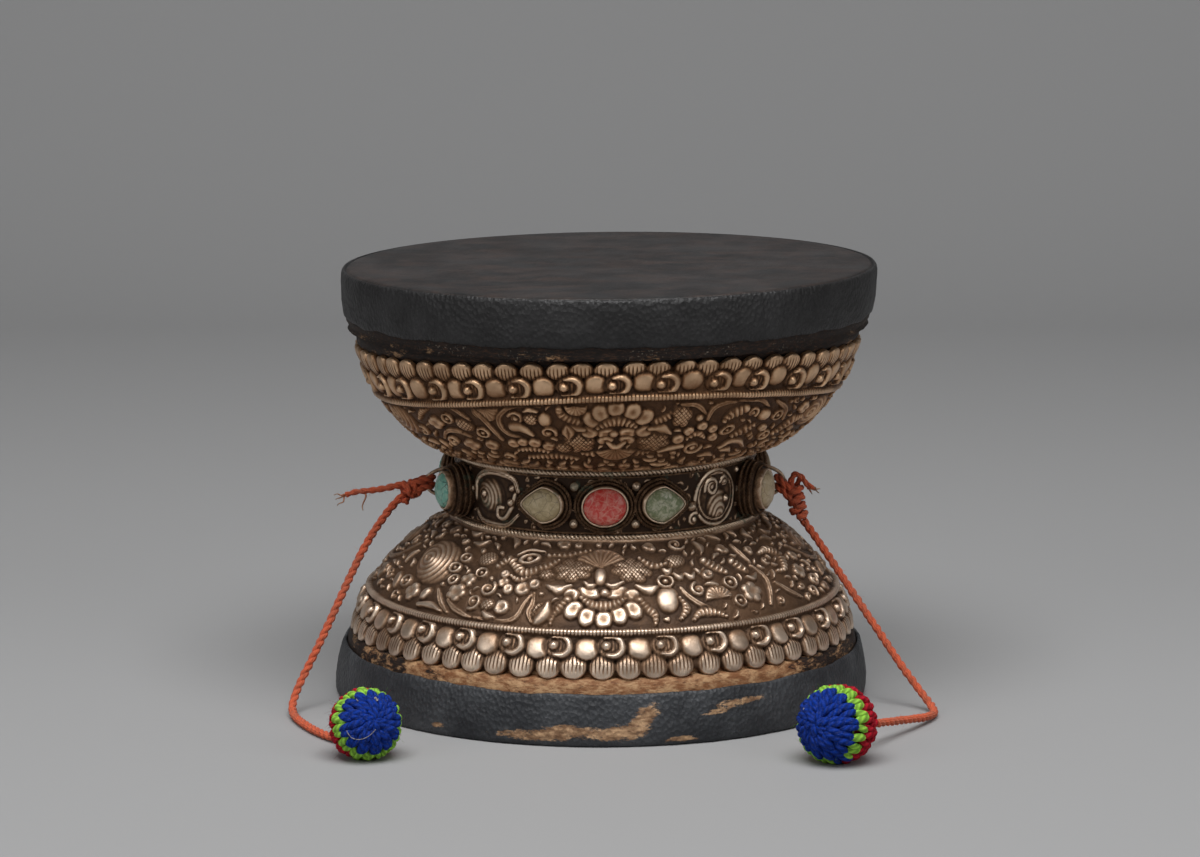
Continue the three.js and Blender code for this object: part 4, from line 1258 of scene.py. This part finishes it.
silver = Finish("chased_silver")
crest, wear = silver.mark("crest"), silver.mark("wear")
grime = silver.noise(1.8, 6, 0.65)
tarnish = silver.noise(11, 4)
punched = silver.cells(0.55)
around, down = silver.chart()
slot_cuts = silver.between((around * (2 * math.pi * SLOTS_ROUND)).wave(), 0.1, 0.9)
right_cuts, left_cuts = (
    silver.between(((around * HATCH_ROUND + down * way) * (2 * math.pi)).wave(), 0.3, 0.95)
    for way in (HATCH_DOWN, -HATCH_DOWN)
)
crossed = (right_cuts + left_cuts).clear()
engraved = silver.mark("slots") * slot_cuts + silver.mark("hatch") * 0.75 * crossed
# Raised work is rubbed bright and the ground dark with patina; the crest-above-surroundings mark adds a
# painted highlight on the sharpest crests and painted shade in the recesses.
relief = crest * 0.58 + wear * 0.62
polish_and_painted_light = silver.between(relief + (grime - 0.5) * 0.5 - engraved * 0.5, 0.20, 0.98)
metal = silver.ramp(
    polish_and_painted_light,
    (0.0, (0.062, 0.036, 0.022)), (0.16, (0.125, 0.076, 0.047)), (0.45, (0.31, 0.20, 0.13)),
    (0.75, (0.52, 0.385, 0.285)), (1.0, (0.82, 0.69, 0.575)),
)
metal = silver.blend(silver.between(tarnish, 0.40, 0.68) * 0.5, metal, (0.17, 0.098, 0.055))
# Painted shade and reflection: the darker, warmer tint of the downward-facing upper sheet, slight on the
# lower.
metal = silver.blend(silver.mark("golden"), metal, (0.96, 0.73, 0.50), "MULTIPLY")
pitted = silver.noise(0.4, 4) * 0.4 + grime * 0.3 - punched * 0.6 * (1 - crest)
silver.lay({
    "Base Color": metal,
    "Metallic": 0.30 + 0.60 * polish_and_painted_light,
    "Roughness": 0.58 - 0.18 * polish_and_painted_light + 0.3 * (grime - 0.5),
    "Specular IOR Level": 0.22,
    "Normal": silver.bump(pitted - engraved * 1.6, 0.13),
})

for name, *making in (  # bowl, petals, the line between their rows, the rope, seed, garden, sag
    ("upper", UPPER, 64, 3.94, 8.0, 10.5, 61, upper_garden, UPPER_SAG),
    ("lower", LOWER, 60, 5.65, 10.1, 12.4, 71, lower_garden, 0.0),
):
    stock = clad(*making)
    clad_piece = stock.piece(f"{name}_chased_sheet", silver, "embossed_silver", f"{name}_cladding")
    thin = clad_piece.modifiers.new("thin", "DECIMATE")
    thin.ratio = min(1.0, FACE_LIMIT / (2 * len(clad_piece.data.polygons)))
    bpy.context.view_layer.objects.active = clad_piece
    clad_piece.select_set(True)
    bpy.ops.object.modifier_apply(modifier="thin")
    clad_piece.select_set(False)

# ---- The belt ----
# A band of blackened silver girds the waist between two twisted wires, with filigree roundels, granules
# and a double bezel for each stone, and a wire loop at each side for a cord.

BELT_LOW, BELT_HIGH = 43.2, 60.6
BELT_Z = 51.9
BAND_R = 36.6
BEZEL_WALL = 1.1
STONE_SIDES = 72
FRONT_REACH, SIDE_REACH = 38.2, 41.6
STONES = [
    ("coral", 0, 5.2, 4.5, 0.0, FRONT_REACH), ("olive", -23, 5.0, 4.1, -0.5, FRONT_REACH),
    ("green", 21.5, 5.0, 4.1, 0.5, FRONT_REACH), ("left_turquoise", -68, 4.2, 4.4, 0.0, SIDE_REACH),
    ("right_amber", 68, 4.2, 4.4, 0.0, SIDE_REACH),
]
STONES = [(f"front_{n}", a, w, h, p, r) for n, a, w, h, p, r in STONES] + [
    (f"back_{n}", 180 - a, w, h, -p, r) for n, a, w, h, p, r in STONES]


def set_out(points, azimuth):
    """Moves points from across, up and out from the axis to their place round the belt."""
    turn = math.radians(azimuth)
    outward = np.array([math.sin(turn), -math.cos(turn), 0])
    across = np.array([math.cos(turn), math.sin(turn), 0])
    points = np.asarray(points, float)
    x, y, out = points[..., :1], points[..., 1:2], points[..., 2:]
    return x * across + y * (0, 0, 1) + out * outward + (0, 0, BELT_Z)


def walled(rows):
    """Rows of a box's wall, from outlines and how far out from the axis each one stands."""
    return np.stack([np.column_stack([ring, np.full(len(ring), out)]) for ring, out in rows])


def outline(wide, tall, point, grow, count=STONE_SIDES):
    """A stone's outline, round or drawn out to a pear, grown by a margin."""
    turn = 2 * math.pi * np.arange(count) / count
    x, y = np.cos(turn), np.sin(turn)
    y = y * (1 - abs(point) * np.clip(np.sign(point) * x, 0, None)) if point else y
    return np.stack([x * (wide + grow), y * (tall + grow)], 1)


belt = Stock("crest")
band_z = np.linspace(BELT_LOW + 0.6, BELT_HIGH - 0.6, 60)
band = Relief(np.full(60, BAND_R + 0.1), band_z, 0.32)
middle = band.length / 2
dice = np.random.default_rng(83)


def left(x, y):
    return band.at(x, middle + y, -45.6)


def right(x, y):
    return band.at(x, middle + y, 45.6)


for band.origin in (0, 180):
    # a spiral of fine lines in a thick open scroll
    band.oval(left(-0.4, 0), 14.4, 13.6, 0, 0.45, pillow)
    band.conch(left(-1.4, 0.7), 9.8, 8.8, 0, 6)
    upper_arm = [(-7.2, -1.2), (-6.9, 3.5), (-3.4, 6.0), (1.6, 6.4), (5.9, 5.2), (7.3, 2.4)]
    band.stroke([left(x, y) for x, y in upper_arm], [0.5, 0.9, 0.9, 0.6], 1.2, double_line)
    lower_arm = [(-6.8, -3.8), (-4.4, -6.0), (0, -6.6), (4.3, -6.2), (7.3, -3.5)]
    band.stroke([left(x, y) for x, y in lower_arm], [0.5, 0.9, 0.7, 0.4], 1.1, double_line)
    hook = [(6.4, 1.6), (5.6, -1.6), (3.6, -4.6), (1.4, -4.4), (1.4, -2.2), (3.0, -2.0)]
    band.stroke([left(x, y) for x, y in hook], [0.5, 0.6, 0.5, 0.4], 1.2)
    band.oval(left(-3.6, 0.7), 1.9, 1.9, 0, 1.6)
    for x, y, wide in ((-8.7, 1.2, 2.2), (5.2, -0.5, 1.9), (5.5, 3.0, 1.7)):
        band.oval(left(x, y), wide, wide, 0, 1.5)
    # a large and a small volute over fine lines in a double ring
    band.oval(right(0.3, 0), 14.0, 13.4, 0, 0.45, pillow)
    band.conch(right(0.6, -2.4), 10.4, 7.2, 90, 5)
    band.ring(right(0.3, 0), 13.4, 13.0, 0, 1.15, 0.45)
    band.ring(right(0.3, 0.2), 11.2, 11.0, 0, 0.85, 0.28)
    band.curl(right(-1.4, 2.6), 2.3, -1.6, 200, 1.2, 0.45, 0.6)
    band.curl(right(3.0, 3.4), 1.4, -1.3, 180, 1.2, 0.4, 0.5)
    band.oval(right(3.6, -0.7), 2.0, 2.0, 0, 1.5)
    band.curl(right(-6.6, -4.6), 1.6, 1.2, 60, 1.1, 0.4, 0.7)
    for x, y, wide in ((-7.3, -1.4, 2.3), (9.2, 0.7, 2.3), (8.4, 5.4, 1.5)):
        band.oval(right(x, y), wide, wide, 0, 1.5)
band.origin = 0
for az in (-11.5, 11.5, 168.5, -168.5):
    for s in (3.6, band.length - 3.6):
        band.oval((az, s), 2.3, 2.3, 0, 1.5)
band.fill(dice, 1.6, band.length - 1.6, 1500, (1.6, 1.2, 0.95))
crest_marks = np.clip(band.rise / 0.95, 0, 1)
band.rise = band.blurred(0.3) + 0.05 * ripple(band.space(), 2, 81)
belt.sheet(settled(band.skin(1)[0]), crest=crest_marks.ravel())
inside = [
    (36.75, BELT_HIGH - 0.6), (36.6, BELT_HIGH), (35.7, BELT_HIGH),
    (35.7, BELT_LOW), (36.6, BELT_LOW), (36.75, BELT_LOW + 0.6),
]
belt.sheet(settled(upright(turned(inside, 2, 180))), crest=0.2)


def ring_path(radius, z, count):
    turn = np.linspace(0, 2 * math.pi, count + 1)
    return np.stack([radius * np.sin(turn), -radius * np.cos(turn), np.full(count + 1, z)], 1)


def twisted(stock, path, radius, lay, crest, sides):
    """Two fine wires twisted together."""
    _, side, up = carried_frames(path)
    walked = run_length(path)
    for wire in (0, 1):
        turn = 2 * math.pi * (walked / lay + wire / 2)
        stock.wire(path + 0.60 * radius * spun(side, up, turn), 0.52 * radius, sides, crest=crest)


for z in (BELT_LOW + 0.85, BELT_HIGH - 0.85):
    twisted(belt, settled(ring_path(BAND_R + 0.5, z, 680)), 0.8, 2.1, 0.8, 5)
for z in (BELT_LOW + 1.95, BELT_HIGH - 1.95):
    belt.wire(settled(ring_path(BAND_R + 0.2, z, 240)), 0.3, 6, crest=0.4)

for name, azimuth, wide, tall, point, reach in STONES:
    inner, outer = outline(wide, tall, point, 0.05), outline(wide, tall, point, 0.42)
    foot = outline(wide, tall, point, BEZEL_WALL)
    grid = walled([(foot, 35.9), (foot, reach - 1.2), (outer, reach - 0.9), (outer, reach + 0.75),
                   (inner, reach + 0.9), (inner, reach - 0.2)])
    grid[3:5, :, 2] += np.random.default_rng(int(abs(azimuth) * 10)).normal(size=STONE_SIDES) * 0.06
    crest = np.repeat([0.1, 0.2, 0.3, 0.75, 0.9, 0.3], STONE_SIDES)
    belt.sheet(settled(set_out(grid, azimuth)), crest=crest)
    collar = [(1.15, 0.34, -0.5, 1.2), (1.9, 0.42, -1.1, 1.5)]
    if reach == SIDE_REACH:
        collar[1:] = [(1.95, 0.4, -1.8, 1.5), (2.0, 0.4, -3.0, 1.5), (2.1, 0.45, -4.2, 1.5)]
    for grow, radius, lift, lay in collar:
        rim = outline(wide, tall, point, grow, 96)
        rim = walled([(np.vstack([rim, rim[:1]]), reach + lift)])[0]
        twisted(belt, settled(set_out(rim, azimuth)), radius, lay, 0.42, 5)
    skirt = outline(wide, tall, point, 1.75)
    grid = walled([(skirt, 35.9), (skirt, reach - 1.3), (outer, reach - 1.0)])
    grid[1, ::2, 2] += 0.2
    belt.sheet(settled(set_out(grid, azimuth)), crest=np.repeat([0.35, 0.3, 0.2], STONE_SIDES))

for way in (-1, 1):
    angle = np.linspace(-math.pi / 2, math.pi / 2, 40)
    out = way * (36.2 + (LOOP_REACH - 36.2) * np.cos(angle))
    loop = np.column_stack([out, 0 * angle, LOOP_Z + 4 * np.sin(angle)])
    belt.wire(settled(loop), 0.48, 10, crest=0.7)

dark_silver = Finish("blackened_silver")
crest = dark_silver.mark("crest")
grime = dark_silver.noise(1.6, 6, 0.7)
patina = dark_silver.between(dark_silver.noise(4.5, 5, 0.6), 0.60, 0.70)
bright = dark_silver.between(crest + (grime - 0.5) * 0.7, 0.12, 0.95)
metal = dark_silver.ramp(
    bright,
    (0.0, (0.034, 0.0170, 0.0085)), (0.25, (0.100, 0.054, 0.028)),
    (0.6, (0.30, 0.18, 0.105)), (1.0, (0.74, 0.58, 0.43)),
)
metal = dark_silver.blend(patina * 0.5, metal, (0.075, 0.14, 0.10))
dark_silver.lay({
    "Base Color": metal,
    "Metallic": 0.3 + 0.6 * bright - 0.3 * patina,
    "Roughness": 0.52 - 0.16 * bright + 0.2 * patina,
    "Specular IOR Level": 0.2,
    "Normal": dark_silver.bump(grime, 0.07),
})
belt.piece("girdle_with_bezels", dark_silver, "dark_silver", "waist_belt")

# ---- The stones ----
# Low polished cabochons, held by their bezels: coral in the middle, olive and green pears beside it,
# and turquoise and amber at the sides.


def stone_finish(name, body, cloud, vein, share, glossy):
    stone = Finish(name)
    mottle = stone.noise(1.3, 6, 0.62, warp=0.6)
    lines = stone.cells(2.6, stone.place(), "DISTANCE_TO_EDGE")
    wander = stone.noise(0.9, 4)
    crack = 1 - stone.between(lines + (wander - 0.5) * 0.12, 0.0, 0.035)
    colour = stone.blend(stone.between(mottle, 0.42, 0.62), body, cloud)
    colour = stone.blend(crack * share, colour, vein)
    stone.lay({
        "Base Color": colour,
        "Roughness": glossy + 0.2 * mottle,
        "Coat Weight": 0.15,
        "Coat Roughness": 0.25,
        "Normal": stone.bump(mottle * 0.5 - crack * 0.5, 0.06),
    })
    return stone


STONE_LOOKS = {  # body, cloud and vein colours, how much of the vein shows, and the least roughness
    "coral": ((0.58, 0.042, 0.032), (0.62, 0.19, 0.15), (0.72, 0.50, 0.37), 0.32, 0.28),
    "olive": ((0.43, 0.335, 0.185), (0.56, 0.45, 0.27), (0.05, 0.03, 0.02), 0.45, 0.3),
    "green": ((0.18, 0.215, 0.105), (0.47, 0.46, 0.33), (0.06, 0.09, 0.05), 0.4, 0.25),
    "turquoise": ((0.15, 0.42, 0.33), (0.28, 0.50, 0.40), (0.02, 0.03, 0.02), 0.8, 0.3),
    "amber": ((0.44, 0.34, 0.20), (0.54, 0.43, 0.28), (0.16, 0.08, 0.04), 0.5, 0.3),
}
finishes = {kind: stone_finish(f"{kind}_finish", *look) for kind, look in STONE_LOOKS.items()}
STONE_RISE = 2.2
for name, azimuth, wide, tall, point, reach in STONES:
    kind = name.split("_")[-1]
    levels = np.linspace(0, 1, 12)[:, None, None]
    ring = outline(wide, tall, point, 0)[None]
    shrink = np.maximum(np.cos(levels * math.pi / 2) ** 0.75, 0.02)
    rise = reach + 0.1 + (STONE_RISE - 0.1) * np.sin(levels * math.pi / 2) ** 0.9
    grid = np.concatenate([ring * shrink, np.broadcast_to(rise, (12, ring.shape[1], 1))], -1)
    grid[..., 2] += 0.10 * ripple(grid + (azimuth, 0, 0), 2.4, 91) * levels[..., 0]
    stock = Stock()
    stock.sheet(settled(set_out(grid, azimuth)), caps=True)
    stock.piece(f"{name}_cabochon", finishes[kind], f"{kind}_stone", f"{name}_stone")

# ---- The studio ----
# A pale sweep of paper under and behind the drum, and wide soft lamps.

sweep = Finish("grey_paper")
sweep.lay({"Base Color": (0.345, 0.345, 0.348), "Roughness": 0.7, "Specular IOR Level": 0.2})
profile = [(-2.5, 0.0), (0.62, 0.0)]
profile += [
    (0.62 + 0.35 * math.sin(a), 0.35 * (1 - math.cos(a))) for a in np.linspace(0.1, math.pi / 2 - 0.05, 12)
]
profile += [(1.0, 1.6), (1.02, 3.0)]
verts = [(x, y, z) for y, z in profile for x in (-4.0, 4.0)]
faces = [(2 * i, 2 * i + 1, 2 * i + 3, 2 * i + 2) for i in range(len(profile) - 1)]
mesh = bpy.data.meshes.new("paper_sweep")
mesh.from_pydata(verts, [], faces)
mesh.materials.append(sweep.material)
mesh.shade_smooth()
paper = bpy.data.objects.new("paper_sweep", mesh)
bpy.context.scene.collection.objects.link(paper)


def lamp(name, place, target, size, power):
    data = bpy.data.lights.new(name, "AREA")
    data.shape = "RECTANGLE"
    data.size, data.size_y = size
    data.energy = power
    made = bpy.data.objects.new(name, data)
    made.location = place
    way = Vector(target) - Vector(place)
    made.rotation_euler = way.to_track_quat("-Z", "Y").to_euler()
    bpy.context.scene.collection.objects.link(made)


lamp("overhead_softbox", (0.0, -0.42, 1.05), (0, -0.08, 0), (1.0, 0.7), 14.0)
lamp("left_softbox", (-1.15, -0.95, 0.62), (0, 0, 0.05), (0.8, 0.8), 3.2)
lamp("right_softbox", (1.15, -0.95, 0.62), (0, 0, 0.05), (0.8, 0.8), 3.2)
world = bpy.data.worlds.new("studio")
world.use_nodes = True
world.node_tree.nodes["Background"].inputs["Color"].default_value = (1, 1, 1, 1)
world.node_tree.nodes["Background"].inputs["Strength"].default_value = 0.08
bpy.context.scene.world = world
